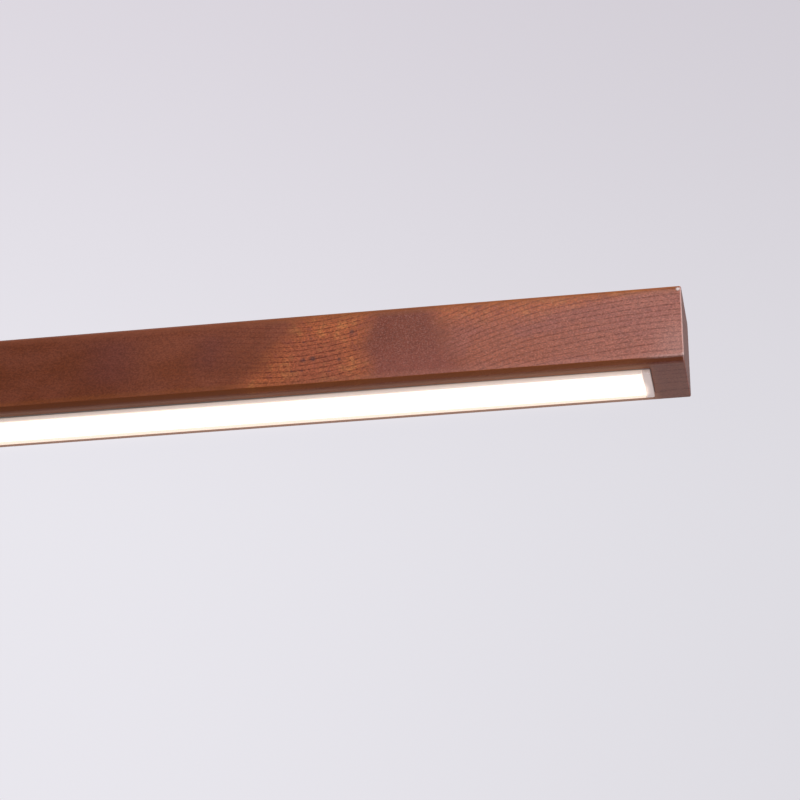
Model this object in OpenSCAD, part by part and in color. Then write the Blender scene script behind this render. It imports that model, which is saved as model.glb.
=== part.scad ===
// Linear pendant light: a solid wooden beam with an LED channel set into its underside.
// It hangs on two steel wires, which pass into spring-loaded grippers on its top face.
// Millimetres. X runs along the beam, Y from its front to its back, and Z points up.
// The origin is the middle of the beam's top face, on the axis of the cord inlet.

/* [Wooden beam] */
// Length of the beam, end to end
beam_length = 1200; // [1000:10:1800]
// Width of the beam, front to back
beam_width = 52; // [48:1:70]
// Height of the beam
beam_height = 50; // [48:1:70]
// Radius of the beam's long edges
edge_radius = 2.5; // [1:0.5:4]
// Radius of the edges round the beam's two ends
end_radius = 0.8; // [0.3:0.1:2]
// Solid wood left between the groove and each end of the beam
end_margin = 20.5; // [15:0.5:40]

/* [LED channel] */
// Outer width of the aluminium channel
channel_width = 32; // [30:0.5:36]
// Height of the channel, from its rim to its back
channel_height = 17; // [15:0.5:19]
// Thickness of the channel's side walls
channel_wall = 1.4; // [1:0.1:2]
// Thickness of the web that carries the LED boards
web_thickness = 1.6; // [1.2:0.1:2.4]
// Slack between the channel and the walls of its groove
groove_gap = 0.4; // [0.2:0.1:0.6]
// Thickness of the end caps
cap_thickness = 5; // [3:0.5:8]
// Radius of the end caps' upright outer edges
cap_corner = 1.2; // [0.5:0.1:2]
// Depth of the end caps' plugs inside the channel
plug_depth = 6; // [4:0.5:10]
// Wall of the end caps' hollow plugs
plug_wall = 1.6; // [1.2:0.1:2.2]

/* [Diffuser] */
// How far the diffuser stands out below the wood
diffuser_drop = 3; // [2:0.5:5]
// Thickness of the opal plate
diffuser_thickness = 1.8; // [1.2:0.1:2.4]
// Thickness of the diffuser's snap legs
leg_thickness = 1.2; // [0.8:0.1:1.6]
// Height of the ledge that holds the legs, above the channel's rim
ledge_rise = 2; // [1:0.1:6]
// Height of the ledge itself
ledge_height = 1.2; // [0.8:0.1:2]
// Depth of the ledge, out from the channel's wall
ledge_depth = 1; // [0.6:0.1:1.4]
// Height of the hook on each leg
hook_height = 1.4; // [1:0.1:2]

/* [LED boards] */
// Width of each LED board
board_width = 10; // [8:0.5:11]
// Thickness of each LED board
board_thickness = 1.2; // [0.8:0.1:1.6]
// Thickness of the thermal tape under the boards
tape_thickness = 0.3; // [0.2:0.1:0.5]
// Distance from one LED to the next
led_pitch = 16; // [12:1:24]
// Length of an LED package, along the board
led_length = 3.5; // [2:0.1:5]
// Width of an LED package
led_width = 2.8; // [2:0.1:5]
// Height of an LED package
led_height = 0.8; // [0.6:0.1:1.6]
// Height of the connector that links the two boards
link_height = 2.2; // [1.6:0.1:3]

/* [Driver] */
// Length of the LED driver over its two lugs
driver_length = 120; // [90:5:124]
// Width of the driver
driver_width = 20; // [18:0.5:22]
// Height of the driver's case
driver_height = 14; // [12:0.5:16]
// Thickness of the driver case's walls
driver_wall = 1.4; // [1:0.1:1.8]
// Length of each lug of the driver
lug_length = 8; // [7:0.5:10]
// Thickness of each lug of the driver
lug_thickness = 3; // [2:0.5:4]
// Room under the driver for its leads
lead_room = 4; // [3:0.5:6]

/* [Terminal block] */
// Length of the terminal block, along the beam
block_length = 22; // [18:0.5:28]
// Distance between the block's two poles
pole_pitch = 10; // [9.5:0.5:11]
// Height of the terminal block
block_height = 14; // [13.5:0.5:16]
// Diameter of the block's wire ways
wire_way = 3; // [2.6:0.1:3.4]

/* [Suspension] */
// Distance between the two suspension wires
wire_spacing = 310; // [300:5:700]
// Diameter of the suspension wire
wire_diameter = 1.5; // [1.2:0.1:1.8]
// Outer diameter of the wire grippers
grip_diameter = 13; // [12:0.5:16]
// Height of the gripper's base above its washer
base_height = 8; // [7:0.5:12]
// Diameter of the balls that bite on the wire
ball_diameter = 2.5; // [2.3:0.1:2.7]
// Number of balls in each gripper
ball_count = 3; // [2:1:3]
// How far a release nipple can be pressed
release_travel = 2.5; // [1.5:0.1:3]
// Length of the gripper's guide hole
guide_length = 4; // [3:0.5:8]
// Diameter of the nipple's stem
stem_diameter = 5; // [4.6:0.1:5.2]
// Diameter of the nipple's head
head_diameter = 7; // [6:0.1:9]
// Height of the nipple's head
head_height = 1.8; // [1.2:0.1:3]
// Length of the gripper's spring at rest
spring_length = 6.4; // [6:0.2:9]
// Diameter of the spring's wire
spring_wire = 0.5; // [0.4:0.05:0.6]
// Number of turns in the spring
spring_turns = 5; // [4:0.5:5.5]
// Diameter of the gripper's threaded stud
stud_diameter = 6; // [5:0.5:8]
// Length of the gripper's threaded stud
stud_length = 11; // [8:0.5:14]
// Wall of the threaded insert in the wood
insert_wall = 1.5; // [1:0.1:2.5]
// Diameter of the washer under each gripper
washer_diameter = 18; // [16:0.5:24]
// Thickness of the washer under each gripper
washer_thickness = 1.2; // [0.8:0.1:2]

/* [Cord inlet] */
// Diameter of the supply cord that the inlet takes
cord_diameter = 6; // [5:0.5:7]
// Diameter of the inlet's flange
flange_diameter = 18; // [16:0.5:24]
// Thickness of the inlet's flange
flange_thickness = 2; // [1.5:0.5:4]
// Height of the inlet's nose above the wood
nose_height = 8; // [6:0.5:14]
// Diameter of the inlet's threaded stem
inlet_stem = 10; // [9.5:0.5:12]
// Thickness of the inlet's locknut
locknut_thickness = 3; // [2:0.5:4]

/* [Screws] */
// Diameter of the wood screws' shanks
screw_diameter = 3; // [2.5:0.5:4]
// Length of the screws that hold the channel
channel_screw_length = 18; // [14:1:22]
// Length of the screws in the driver's pocket
pocket_screw_length = 13; // [10:1:14]
// Diameter of the screws' heads
screw_head = 5.6; // [5:0.2:6]
// Height of the screws' heads
screw_head_height = 1.8; // [1.4:0.1:2.4]

/* [Hidden] */
$fn = 64;

// Slack of a fixed round piece in its hole, of a sliding fit, and between faces that face each other
seat_slack = 0.1;
slide_slack = 0.08;
face_slack = 0.2;
cut = 1;

// Heights, counted down from the beam's top face
rim_z = -beam_height;
channel_top = rim_z + channel_height;
web_under = channel_top - web_thickness;
pocket_top = channel_top + driver_height + lead_room;
board_under = web_under - tape_thickness - board_thickness;

// Lengths and widths of the groove and of what lies in it
groove_length = beam_length - 2 * end_margin;
groove_width = channel_width + 2 * groove_gap;
channel_length = groove_length - 2 * groove_gap - 2 * cap_thickness;
channel_inner = channel_width - 2 * channel_wall;
leg_outer = channel_inner / 2 - ledge_depth - face_slack;
leg_inner = leg_outer - leg_thickness;
plate_z = rim_z - diffuser_drop;
plate_top = plate_z + diffuser_thickness;
ledge_z = rim_z + ledge_rise;
hook_z = ledge_z + ledge_height + face_slack;
hook_depth = ledge_depth;
plug_top = web_under - face_slack;
plug_bottom = plate_top + face_slack;
plug_width = 2 * (leg_inner - face_slack);
board_gap = 0.4;
board_length = channel_length / 2 - plug_depth - face_slack - board_gap / 2;
led_margin = 4;
leds_per_board = floor((board_length - led_margin - led_length / 2) / led_pitch + 0.5);

// The pocket above the channel, with the inlet in its middle, the driver right and the block left
inlet_room = 24;
grommet_room = 6;
pocket_half = inlet_room + driver_length + grommet_room;
pocket_side = 2;
pocket_width = driver_width + 2 * pocket_side;
driver_x = inlet_room + lug_length;
driver_body = driver_length - 2 * lug_length;
lead_rise = 4;
lead_z = pocket_top - driver_height + lead_rise;
block_x = -inlet_room - block_length;
pole_wall = 2.6;
block_width = pole_pitch + wire_way + 2 * pole_wall;
terminal_screw = 3.4;
cover_rim = 2;
driver_pcb = 1.6;

// The leads inside the beam
mains_lead = 2.2;
led_lead = 1.4;
led_lead_step = 1.9;
lead_slack = 0.3;
grommet_inset = 5;
grommet_x = pocket_half - grommet_inset;
grommet_flange = 0.8;
grommet_bore = led_lead_step + led_lead + 2 * lead_slack;
grommet_wall = 0.6;
grommet_lip = 0.5;
grommet_diameter = grommet_bore + 2 * (grommet_wall + grommet_lip);
grommet_y = pocket_width / 2 - grommet_diameter / 2 - face_slack;
lead_bend = 2.4;
lead_straight = 4;

// The channel's screws, in pairs on both sides of the boards, where there is wood behind them
screw_end_margin = 70;
screw_y = (board_width / 2 + leg_outer) / 2;
screw_xs = [pocket_half + screw_end_margin, channel_length / 2 - screw_end_margin];

// Heights in a gripper, from the beam's top face up
base_z = washer_thickness;
barrel_z = base_z + base_height;
spigot_height = 3;
base_top = barrel_z + spigot_height;
cage_z = base_top + spring_length;
cage_margin = 0.7;
cage_height = ball_diameter + 2 * seat_slack + 2 * cage_margin;
cage_top = cage_z + cage_height;
ball_z = cage_z + cage_height / 2;
cage_play = 0.3;
guide_z = cage_top + cage_play;
barrel_top = guide_z + guide_length;
head_clearance = 0.6;
head_z = barrel_top + release_travel + head_clearance;
head_top = head_z + head_height;

// Radii in a gripper: the cone narrows upwards, so a pull on the wire wedges the balls tighter
grip_chamfer = 1;
head_chamfer = 0.5;
mouth_chamfer = 0.8;
cone_angle = 8;
wire_slack = 0.3;
wire_bore = wire_diameter + wire_slack;
ball_orbit = (wire_diameter + ball_diameter) / 2;
ball_slack = 0.05;
ball_reach = ball_orbit + ball_diameter / 2 / cos(cone_angle) + ball_slack;
cone_margin = 0.5;
cone_z = ball_z - ball_diameter / 2 - release_travel - cone_margin;
cone_top_radius = ball_reach - (guide_z - ball_z) * tan(cone_angle);
cone_low_radius = ball_reach + (ball_z - cone_z) * tan(cone_angle);
cage_outside = 0.7;
cage_inside = 0.4;
cage_radius = ball_orbit + cage_outside;
cage_bore_radius = ball_orbit - cage_inside;
cage_roof = 0.4;
thread_wall = 1.6;
spigot_radius = grip_diameter / 2 - thread_wall - seat_slack;
exit_slack = 1.1;
exit_diameter = wire_diameter + exit_slack;
exit_rise = 3.6;
exit_slope = 20;
flat_depth = 1;
flat_height = 5;

// The threaded insert, and the inlet's stem below the wood
insert_recess = 0.5;
stud_room = 1;
insert_length = stud_length + stud_room;
insert_radius = stud_diameter / 2 + seat_slack + insert_wall;
cord_slack = 0.5;
inlet_bore = cord_diameter + cord_slack;
stem_bore_step = 0.5;
inlet_stem_bore = inlet_bore + 2 * stem_bore_step;
inlet_stem_end = 2;
nose_wall = 2.4;
nose_round = 1;
locknut_wall = 2;

// Colours
wood_colour = [0.47, 0.27, 0.18];
aluminium_colour = [0.80, 0.77, 0.74];
opal_colour = [1.0, 0.98, 0.94];
cap_colour = [0.86, 0.81, 0.79];
white_colour = [0.92, 0.92, 0.90];
nickel_colour = [0.72, 0.72, 0.72];
steel_colour = [0.55, 0.56, 0.58];
brass_colour = [0.75, 0.60, 0.32];
board_colour = [0.88, 0.89, 0.88];
led_colour = [1.0, 0.90, 0.55];
rubber_colour = [0.12, 0.12, 0.12];
red_colour = [0.65, 0.12, 0.10];
brown_colour = [0.36, 0.22, 0.14];
blue_colour = [0.15, 0.30, 0.60];
circuit_colour = [0.20, 0.42, 0.26];

// Shared shapes

module rounded_rect(a, b, r) {
    square([a - 2 * r, b], center = true);
    square([a, b - 2 * r], center = true);
    for (x = [-1, 1], y = [-1, 1])
        translate([x * (a / 2 - r), y * (b / 2 - r)])
            circle(r);
}

// Turns a profile drawn in Y and Z into a bar along X, from its middle
module along_x(length) {
    rotate([90, 0, 90])
        linear_extrude(length, center = true)
            children();
}

// A bar along X with rounded long edges and less rounded ends, as the overlap of three rounded bars
module soft_bar(a, b, c, long_r, end_r) {
    intersection() {
        linear_extrude(c, center = true)
            rounded_rect(a, b, end_r);
        along_x(a)
            rounded_rect(b, c, long_r);
        rotate([90, 0, 0])
            linear_extrude(b, center = true)
                rounded_rect(a, c, end_r);
    }
}

// A pan-head wood screw that points up, with the underside of its head at height 0
module wood_screw(length) {
    tip = screw_diameter;
    point = 0.6;
    crown = screw_head - screw_head_height;
    translate([0, 0, -screw_head_height])
        cylinder(h = screw_head_height, d1 = crown, d2 = screw_head);
    cylinder(h = length - tip, d = screw_diameter);
    translate([0, 0, length - tip])
        cylinder(h = tip, d1 = screw_diameter, d2 = point);
}

module screw_hole(length) {
    translate([0, 0, -cut])
        cylinder(h = length + cut + face_slack, d = screw_diameter + 2 * seat_slack);
}

// A smooth curve through a route's points, with a number of steps to each stretch
function curve_point(a, b, c, d, t) =
    0.5 * (2 * b + (c - a) * t + (2 * a - 5 * b + 4 * c - d) * t * t + (3 * b - a - 3 * c + d) * t * t * t);
function smooth_route(p, steps) = [
    for (i = [0 : len(p) - 2], s = [0 : steps - 1])
        curve_point(p[max(i - 1, 0)], p[i], p[i + 1], p[min(i + 2, len(p) - 1)], s / steps),
    p[len(p) - 1]
];
function unit(v) = v / norm(v);
function heading(p, i) = unit(p[min(i + 1, len(p) - 1)] - p[max(i - 1, 0)]);
function ring(p, i, r, sides, side_hint) =
    let (
        ahead = heading(p, i),
        across = unit(cross(side_hint, ahead)),
        up = cross(ahead, across)
    )
    [for (k = [0 : sides - 1]) p[i] + r * (cos(360 * k / sides) * across + sin(360 * k / sides) * up)];

// A round tube of one piece along a list of points
module swept_tube(p, r, sides, side_hint) {
    last = (len(p) - 1) * sides;
    points = [for (i = [0 : len(p) - 1]) each ring(p, i, r, sides, side_hint)];
    walls = [
        for (i = [0 : len(p) - 2], k = [0 : sides - 1])
            let (
                a = i * sides + k,
                b = i * sides + (k + 1) % sides
            )
            each [[a, a + sides, b + sides], [a, b + sides, b]]
    ];
    first_end = [for (k = [1 : sides - 2]) [0, k, k + 1]];
    last_end = [for (k = [1 : sides - 2]) [last, last + k + 1, last + k]];
    polyhedron(points, concat(walls, first_end, last_end));
}

// Beam

module channel_screw_places() {
    for (x = screw_xs, side_x = [-1, 1], side_y = [-1, 1])
        translate([side_x * x, side_y * screw_y, web_under])
            children();
}

module pocket_screw_places() {
    for (x = [driver_x - lug_length / 2, driver_x + driver_body + lug_length / 2, block_x + block_length / 2])
        translate([x, 0, pocket_top - lug_thickness])
            children();
}

module wood_beam() {
    color(wood_colour)
    difference() {
        translate([0, 0, -beam_height / 2])
            soft_bar(beam_length, beam_width, beam_height, edge_radius, end_radius);
        translate([0, 0, rim_z - cut])
            linear_extrude(channel_height + cut)
                rounded_rect(groove_length, groove_width, cap_corner + groove_gap);
        translate([0, 0, channel_top - cut])
            linear_extrude(pocket_top - channel_top + cut)
                rounded_rect(2 * pocket_half, pocket_width, pocket_side);
        translate([0, 0, pocket_top - cut])
            cylinder(h = cut - pocket_top + cut, d = inlet_stem + 2 * seat_slack);
        for (side = [-1, 1])
            translate([side * wire_spacing / 2, 0, -insert_recess - insert_length - face_slack])
                cylinder(
                    h = insert_recess + insert_length + face_slack + cut,
                    r = insert_radius + seat_slack
                );
        channel_screw_places()
            screw_hole(channel_screw_length);
        pocket_screw_places()
            screw_hole(pocket_screw_length);
    }
}

// LED channel and what it carries

module channel_profile() {
    difference() {
        translate([-channel_width / 2, rim_z])
            square([channel_width, channel_height]);
        translate([-channel_inner / 2, rim_z - cut])
            square([channel_inner, channel_height - web_thickness + cut]);
    }
    for (side = [-1, 1])
        translate([side * (channel_inner - ledge_depth + channel_wall / 2) / 2, ledge_z + ledge_height / 2])
            square([ledge_depth + channel_wall / 2, ledge_height], center = true);
}

module led_channel() {
    color(aluminium_colour)
    difference() {
        along_x(channel_length)
            channel_profile();
        channel_screw_places()
            screw_hole(web_thickness);
        translate([grommet_x, grommet_y, web_under - cut])
            cylinder(h = web_thickness + 2 * cut, d = grommet_bore + 2 * grommet_wall + 2 * seat_slack);
    }
}

// The diffuser is a trough: its rim lies under the channel's walls, and its legs snap in behind their ledges
module diffuser_profile() {
    plate_half = channel_width / 2;
    shoulder_z = rim_z - face_slack;
    half = [
        [plate_half, plate_z],
        [plate_half, shoulder_z],
        [leg_outer, shoulder_z],
        [leg_outer, hook_z],
        [leg_outer + hook_depth, hook_z],
        [leg_outer, hook_z + hook_height],
        [leg_inner, hook_z + hook_height],
        [leg_inner, plate_top]
    ];
    other_half = [for (i = [len(half) - 1 : -1 : 0]) [-half[i][0], half[i][1]]];
    polygon(concat(half, other_half));
}

module diffuser() {
    color(opal_colour)
        along_x(channel_length - 2 * face_slack)
            diffuser_profile();
}

// An end cap with a hollow plug, drawn at the right-hand end
module end_cap() {
    inner_x = channel_length / 2;
    color(cap_colour)
    union() {
        translate([inner_x, 0, plate_z])
            linear_extrude(channel_top - plate_z) {
                translate([0, -channel_width / 2])
                    square([cap_thickness - cap_corner, channel_width]);
                translate([0, cap_corner - channel_width / 2])
                    square([cap_thickness, channel_width - 2 * cap_corner]);
                for (side = [-1, 1])
                    translate([cap_thickness - cap_corner, side * (channel_width / 2 - cap_corner)])
                        circle(cap_corner);
            }
        difference() {
            translate([inner_x - plug_depth, -plug_width / 2, plug_bottom])
                cube([plug_depth + cut, plug_width, plug_top - plug_bottom]);
            translate([inner_x - plug_depth - cut, plug_wall - plug_width / 2, plug_bottom + plug_wall])
                cube([plug_depth + cut, plug_width - 2 * plug_wall, plug_top - plug_bottom - 2 * plug_wall]);
        }
    }
}

module end_cap_left() {
    mirror([1, 0, 0])
        end_cap();
}

module end_cap_right() {
    end_cap();
}

// A strip on one side of the middle, under the web
module board_strip(side, top, thickness) {
    near = board_gap / 2;
    translate([side > 0 ? near : -near - board_length, -board_width / 2, top - thickness])
        cube([board_length, board_width, thickness]);
}

module thermal_tapes() {
    color(white_colour)
        for (side = [-1, 1])
            board_strip(side, web_under, tape_thickness);
}

module led_board(side) {
    color(board_colour)
        board_strip(side, web_under - tape_thickness, board_thickness);
}

module led_board_left() {
    led_board(-1);
}

module led_board_right() {
    led_board(1);
}

module leds(side) {
    color(led_colour)
        for (i = [0 : leds_per_board - 1])
            translate([side * (i + 0.5) * led_pitch, 0, board_under - led_height / 2])
                cube([led_length, led_width, led_height], center = true);
}

module leds_left() {
    leds(-1);
}

module leds_right() {
    leds(1);
}

module board_link() {
    link_gap = 2;
    link_width = 6;
    link_length = led_pitch - led_length - 2 * link_gap;
    link_slope = link_height / 3;
    color(white_colour)
        translate([0, 0, board_under])
            rotate([90, 0, 0])
                linear_extrude(link_width, center = true)
                    polygon([
                        [-link_length / 2, 0],
                        [link_length / 2, 0],
                        [link_length / 2 - link_slope, -link_height],
                        [link_slope - link_length / 2, -link_height]
                    ]);
}

module channel_screws() {
    color(steel_colour)
        channel_screw_places()
            wood_screw(channel_screw_length);
}

module lead_grommet() {
    inner = grommet_bore / 2;
    neck = inner + grommet_wall;
    outer = neck + grommet_lip;
    color(rubber_colour)
        translate([grommet_x, grommet_y, 0])
            rotate_extrude()
                polygon([
                    [inner, web_under - grommet_flange],
                    [outer, web_under - grommet_flange],
                    [outer, web_under],
                    [neck, web_under],
                    [neck, channel_top],
                    [outer, channel_top],
                    [outer, channel_top + grommet_flange],
                    [inner, channel_top + grommet_flange]
                ]);
}

// Driver and wiring in the pocket

module driver_lug(x) {
    difference() {
        translate([x, -driver_width / 2, pocket_top - lug_thickness])
            cube([lug_length, driver_width, lug_thickness]);
        translate([x + lug_length / 2, 0, pocket_top - lug_thickness])
            screw_hole(lug_thickness);
    }
}

// Places of the leads in the driver's end walls
module driver_lead_holes() {
    for (side = [-1, 1]) {
        translate([driver_x - cut, side * pole_pitch / 2, lead_z])
            rotate([0, 90, 0])
                cylinder(h = driver_wall + 2 * cut, d = mains_lead + 2 * lead_slack);
        translate([driver_x + driver_body - driver_wall - cut, side * led_lead_step, lead_z])
            rotate([0, 90, 0])
                cylinder(h = driver_wall + 2 * cut, d = led_lead + 2 * lead_slack);
    }
}

module driver_case() {
    floor_z = pocket_top - driver_height + driver_wall;
    color(white_colour)
    difference() {
        union() {
            translate([driver_x, -driver_width / 2, floor_z])
                cube([driver_body, driver_width, pocket_top - floor_z]);
            driver_lug(driver_x - lug_length);
            driver_lug(driver_x + driver_body);
        }
        translate([driver_x + driver_wall, driver_wall - driver_width / 2, floor_z - cut])
            cube([
                driver_body - 2 * driver_wall,
                driver_width - 2 * driver_wall,
                pocket_top - driver_wall - floor_z + cut
            ]);
        driver_lead_holes();
    }
}

module driver_cover() {
    cover_z = pocket_top - driver_height;
    rim_inset = driver_wall + seat_slack;
    color(white_colour)
    difference() {
        union() {
            translate([driver_x, -driver_width / 2, cover_z])
                cube([driver_body, driver_width, driver_wall]);
            translate([driver_x + rim_inset, rim_inset - driver_width / 2, cover_z])
                cube([driver_body - 2 * rim_inset, driver_width - 2 * rim_inset, driver_wall + cover_rim]);
        }
        translate([driver_x + 2 * rim_inset, 2 * rim_inset - driver_width / 2, cover_z + driver_wall])
            cube([driver_body - 4 * rim_inset, driver_width - 4 * rim_inset, cover_rim + cut]);
        driver_lead_holes();
    }
}

module driver_board() {
    inset = driver_wall + face_slack;
    board_z = pocket_top - driver_height + driver_wall + cover_rim;
    head_room = pocket_top - driver_wall - face_slack - board_z;
    core_length = 18;
    core_margin = 1;
    core_width = driver_width - 2 * (inset + core_margin);
    can_diameter = head_room - driver_pcb;
    can_length = 14;
    color(circuit_colour)
    difference() {
        union() {
            translate([driver_x + inset, inset - driver_width / 2, board_z])
                cube([driver_body - 2 * inset, driver_width - 2 * inset, driver_pcb]);
            translate([driver_x + driver_body / 2, -core_width / 2, board_z])
                cube([core_length, core_width, head_room]);
            for (x = [driver_x + driver_body / 4, driver_x + driver_body * 0.8])
                translate([x, 0, board_z + driver_pcb / 2]) {
                    translate([0, 0, can_diameter / 2 + driver_pcb / 2])
                        rotate([0, 90, 0])
                            cylinder(h = can_length, d = can_diameter, center = true);
                    cube([can_length, can_diameter / 3, driver_pcb + can_diameter / 2], center = true);
                }
        }
        driver_lead_holes();
    }
}

module terminal_screw_places() {
    for (x = [block_length / 4, block_length * 3 / 4], side = [-1, 1])
        translate([block_x + x, side * pole_pitch / 2, pocket_top - block_height])
            children();
}

module terminal_block() {
    counterbore = screw_head + 2 * face_slack;
    color(white_colour)
    difference() {
        translate([block_x, -block_width / 2, pocket_top - block_height])
            cube([block_length, block_width, block_height]);
        for (side = [-1, 1])
            translate([block_x - cut, side * pole_pitch / 2, lead_z])
                rotate([0, 90, 0])
                    cylinder(h = block_length + 2 * cut, d = wire_way);
        terminal_screw_places()
            translate([0, 0, -cut])
                cylinder(h = lead_z - pocket_top + block_height + cut, d = terminal_screw + 2 * seat_slack);
        translate([block_x + block_length / 2, 0, pocket_top - lug_thickness]) {
            screw_hole(lug_thickness);
            translate([0, 0, -block_height])
                cylinder(h = block_height, d = counterbore);
        }
    }
}

module terminal_screws() {
    slot_width = 0.6;
    slot_depth = 0.8;
    screw_top = lead_z - mains_lead / 2 - face_slack;
    screw_length = 2.4;
    color(steel_colour)
        terminal_screw_places()
            translate([0, 0, screw_top - screw_length - pocket_top + block_height])
                difference() {
                    cylinder(h = screw_length, d = terminal_screw);
                    cube([terminal_screw * 2, slot_width, slot_depth * 2], center = true);
                }
}

module pocket_screws() {
    color(steel_colour)
        pocket_screw_places()
            wood_screw(pocket_screw_length);
}

// Two leads from the terminal block's poles to the driver, with a little sag under the inlet
module mains_leads() {
    start_x = block_x + block_length / 2;
    end_x = driver_x + driver_wall - face_slack;
    sag = 1.2;
    for (side = [-1, 1]) {
        y = side * pole_pitch / 2;
        route = [
            [start_x, y, lead_z],
            [block_x + block_length + lead_straight, y, lead_z],
            [-inlet_room / 2, y, lead_z - sag / 2],
            [0, y, lead_z - sag],
            [inlet_room / 2, y, lead_z - sag / 2],
            [driver_x - lead_straight, y, lead_z],
            [end_x, y, lead_z]
        ];
        color(side > 0 ? brown_colour : blue_colour)
            swept_tube(smooth_route(route, 3), mains_lead / 2, 8, [0, 1, 0]);
    }
}

// Two leads from the driver, down through the grommet and round the board's edge to its pads
module led_leads() {
    start_x = driver_x + driver_body - driver_wall + face_slack;
    pad_inset = 1.2;
    pad_gap = 0.05;
    stagger = 1;
    bulge = 0.8;
    side_hint = unit([1, 0.6, 0.4]);
    pad_y = board_width / 2 - pad_inset;
    pad_z = board_under - led_lead / 2 - pad_gap;
    for (side = [-1, 1]) {
        x = grommet_x - side * led_lead_step / 2;
        route = [
            [start_x, side * led_lead_step, lead_z],
            [start_x + lead_straight - side * stagger, side * led_lead_step, lead_z],
            [x, (grommet_y + side * led_lead_step) / 2, lead_z - lead_bend / 2],
            [x, grommet_y, lead_z - 2 * lead_bend],
            [x, grommet_y, web_under - grommet_flange],
            [x, (grommet_y + pad_y) / 2 + bulge, pad_z],
            [x, pad_y, pad_z]
        ];
        color(side > 0 ? red_colour : rubber_colour)
            swept_tube(smooth_route(route, 4), led_lead / 2, 8, side_hint);
    }
}

// Cord inlet

module inlet_bush() {
    nose_radius = inlet_bore / 2 + nose_wall;
    stem_z = pocket_top - locknut_thickness - inlet_stem_end;
    color(nickel_colour)
        rotate_extrude()
            polygon([
                [inlet_stem_bore / 2, stem_z],
                [inlet_stem / 2, stem_z],
                [inlet_stem / 2, 0],
                [flange_diameter / 2, 0],
                [flange_diameter / 2, flange_thickness / 2],
                [flange_diameter / 2 - flange_thickness / 2, flange_thickness],
                [nose_radius, flange_thickness],
                [nose_radius, nose_height - nose_round],
                [nose_radius - nose_round, nose_height],
                [inlet_bore / 2 + nose_round, nose_height],
                [inlet_bore / 2, nose_height - nose_round],
                [inlet_bore / 2, 0],
                [inlet_stem_bore / 2, 0]
            ]);
}

module inlet_locknut() {
    across_corners = (inlet_stem + 2 * seat_slack + 2 * locknut_wall) / cos(30);
    color(nickel_colour)
        translate([0, 0, pocket_top - locknut_thickness])
            difference() {
                cylinder(h = locknut_thickness, d = across_corners, $fn = 6);
                translate([0, 0, -cut])
                    cylinder(h = locknut_thickness + 2 * cut, d = inlet_stem + 2 * seat_slack);
            }
}

// Wire grippers, drawn about their own axis and placed by side

module at_wire(side) {
    translate([side * wire_spacing / 2, 0, 0])
        children();
}

module threaded_insert(side) {
    flight_count = 4;
    flight_height = insert_length / (2 * flight_count);
    flight_depth = insert_wall / 3;
    color(brass_colour)
        at_wire(side)
            translate([0, 0, -insert_recess - insert_length])
                difference() {
                    cylinder(h = insert_length, r = insert_radius);
                    translate([0, 0, -cut])
                        cylinder(h = insert_length + 2 * cut, d = stud_diameter + 2 * seat_slack);
                    for (i = [0 : flight_count - 1])
                        translate([0, 0, (2 * i + 0.5) * flight_height])
                            difference() {
                                cylinder(h = flight_height, r = insert_radius + cut);
                                translate([0, 0, -cut])
                                    cylinder(h = flight_height + 2 * cut, r = insert_radius - flight_depth);
                            }
                }
}

module insert_left() {
    threaded_insert(-1);
}

module insert_right() {
    threaded_insert(1);
}

module grip_washer(side) {
    color(nickel_colour)
        at_wire(side)
            difference() {
                cylinder(h = washer_thickness, d = washer_diameter);
                translate([0, 0, -cut])
                    cylinder(h = washer_thickness + 2 * cut, d = stud_diameter + 4 * seat_slack);
            }
}

module washer_left() {
    grip_washer(-1);
}

module washer_right() {
    grip_washer(1);
}

// The base carries the stud, closes the barrel and lets the wire's end out at its side
module grip_base(side) {
    exit_z = base_z + exit_rise;
    color(nickel_colour)
        at_wire(side)
            difference() {
                union() {
                    translate([0, 0, -stud_length])
                        cylinder(h = stud_length + base_z, d = stud_diameter);
                    translate([0, 0, base_z])
                        cylinder(h = base_height, d = grip_diameter);
                    translate([0, 0, barrel_z])
                        cylinder(h = spigot_height, r = spigot_radius);
                }
                translate([0, 0, exit_z])
                    cylinder(h = base_top - exit_z + cut, d = exit_diameter);
                translate([0, 0, exit_z + exit_diameter / 2])
                    rotate([0, side * (90 + exit_slope), 0])
                        cylinder(h = grip_diameter, d = exit_diameter);
                for (y = [-1, 1])
                    translate([0, y * grip_diameter / 2, base_z])
                        cube([grip_diameter, 2 * flat_depth, 2 * flat_height], center = true);
            }
}

module grip_base_left() {
    grip_base(-1);
}

module grip_base_right() {
    grip_base(1);
}

module grip_barrel(side) {
    outer = grip_diameter / 2;
    guide = stem_diameter / 2 + slide_slack;
    thread = spigot_radius + seat_slack;
    shoulder_z = base_top + seat_slack;
    color(nickel_colour)
        at_wire(side)
            rotate_extrude()
                polygon([
                    [thread, barrel_z],
                    [outer, barrel_z],
                    [outer, barrel_top - grip_chamfer],
                    [outer - grip_chamfer, barrel_top],
                    [guide, barrel_top],
                    [guide, guide_z],
                    [cone_top_radius, guide_z],
                    [cone_low_radius, cone_z],
                    [cone_low_radius, shoulder_z],
                    [thread, shoulder_z]
                ]);
}

module grip_barrel_left() {
    grip_barrel(-1);
}

module grip_barrel_right() {
    grip_barrel(1);
}

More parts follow.
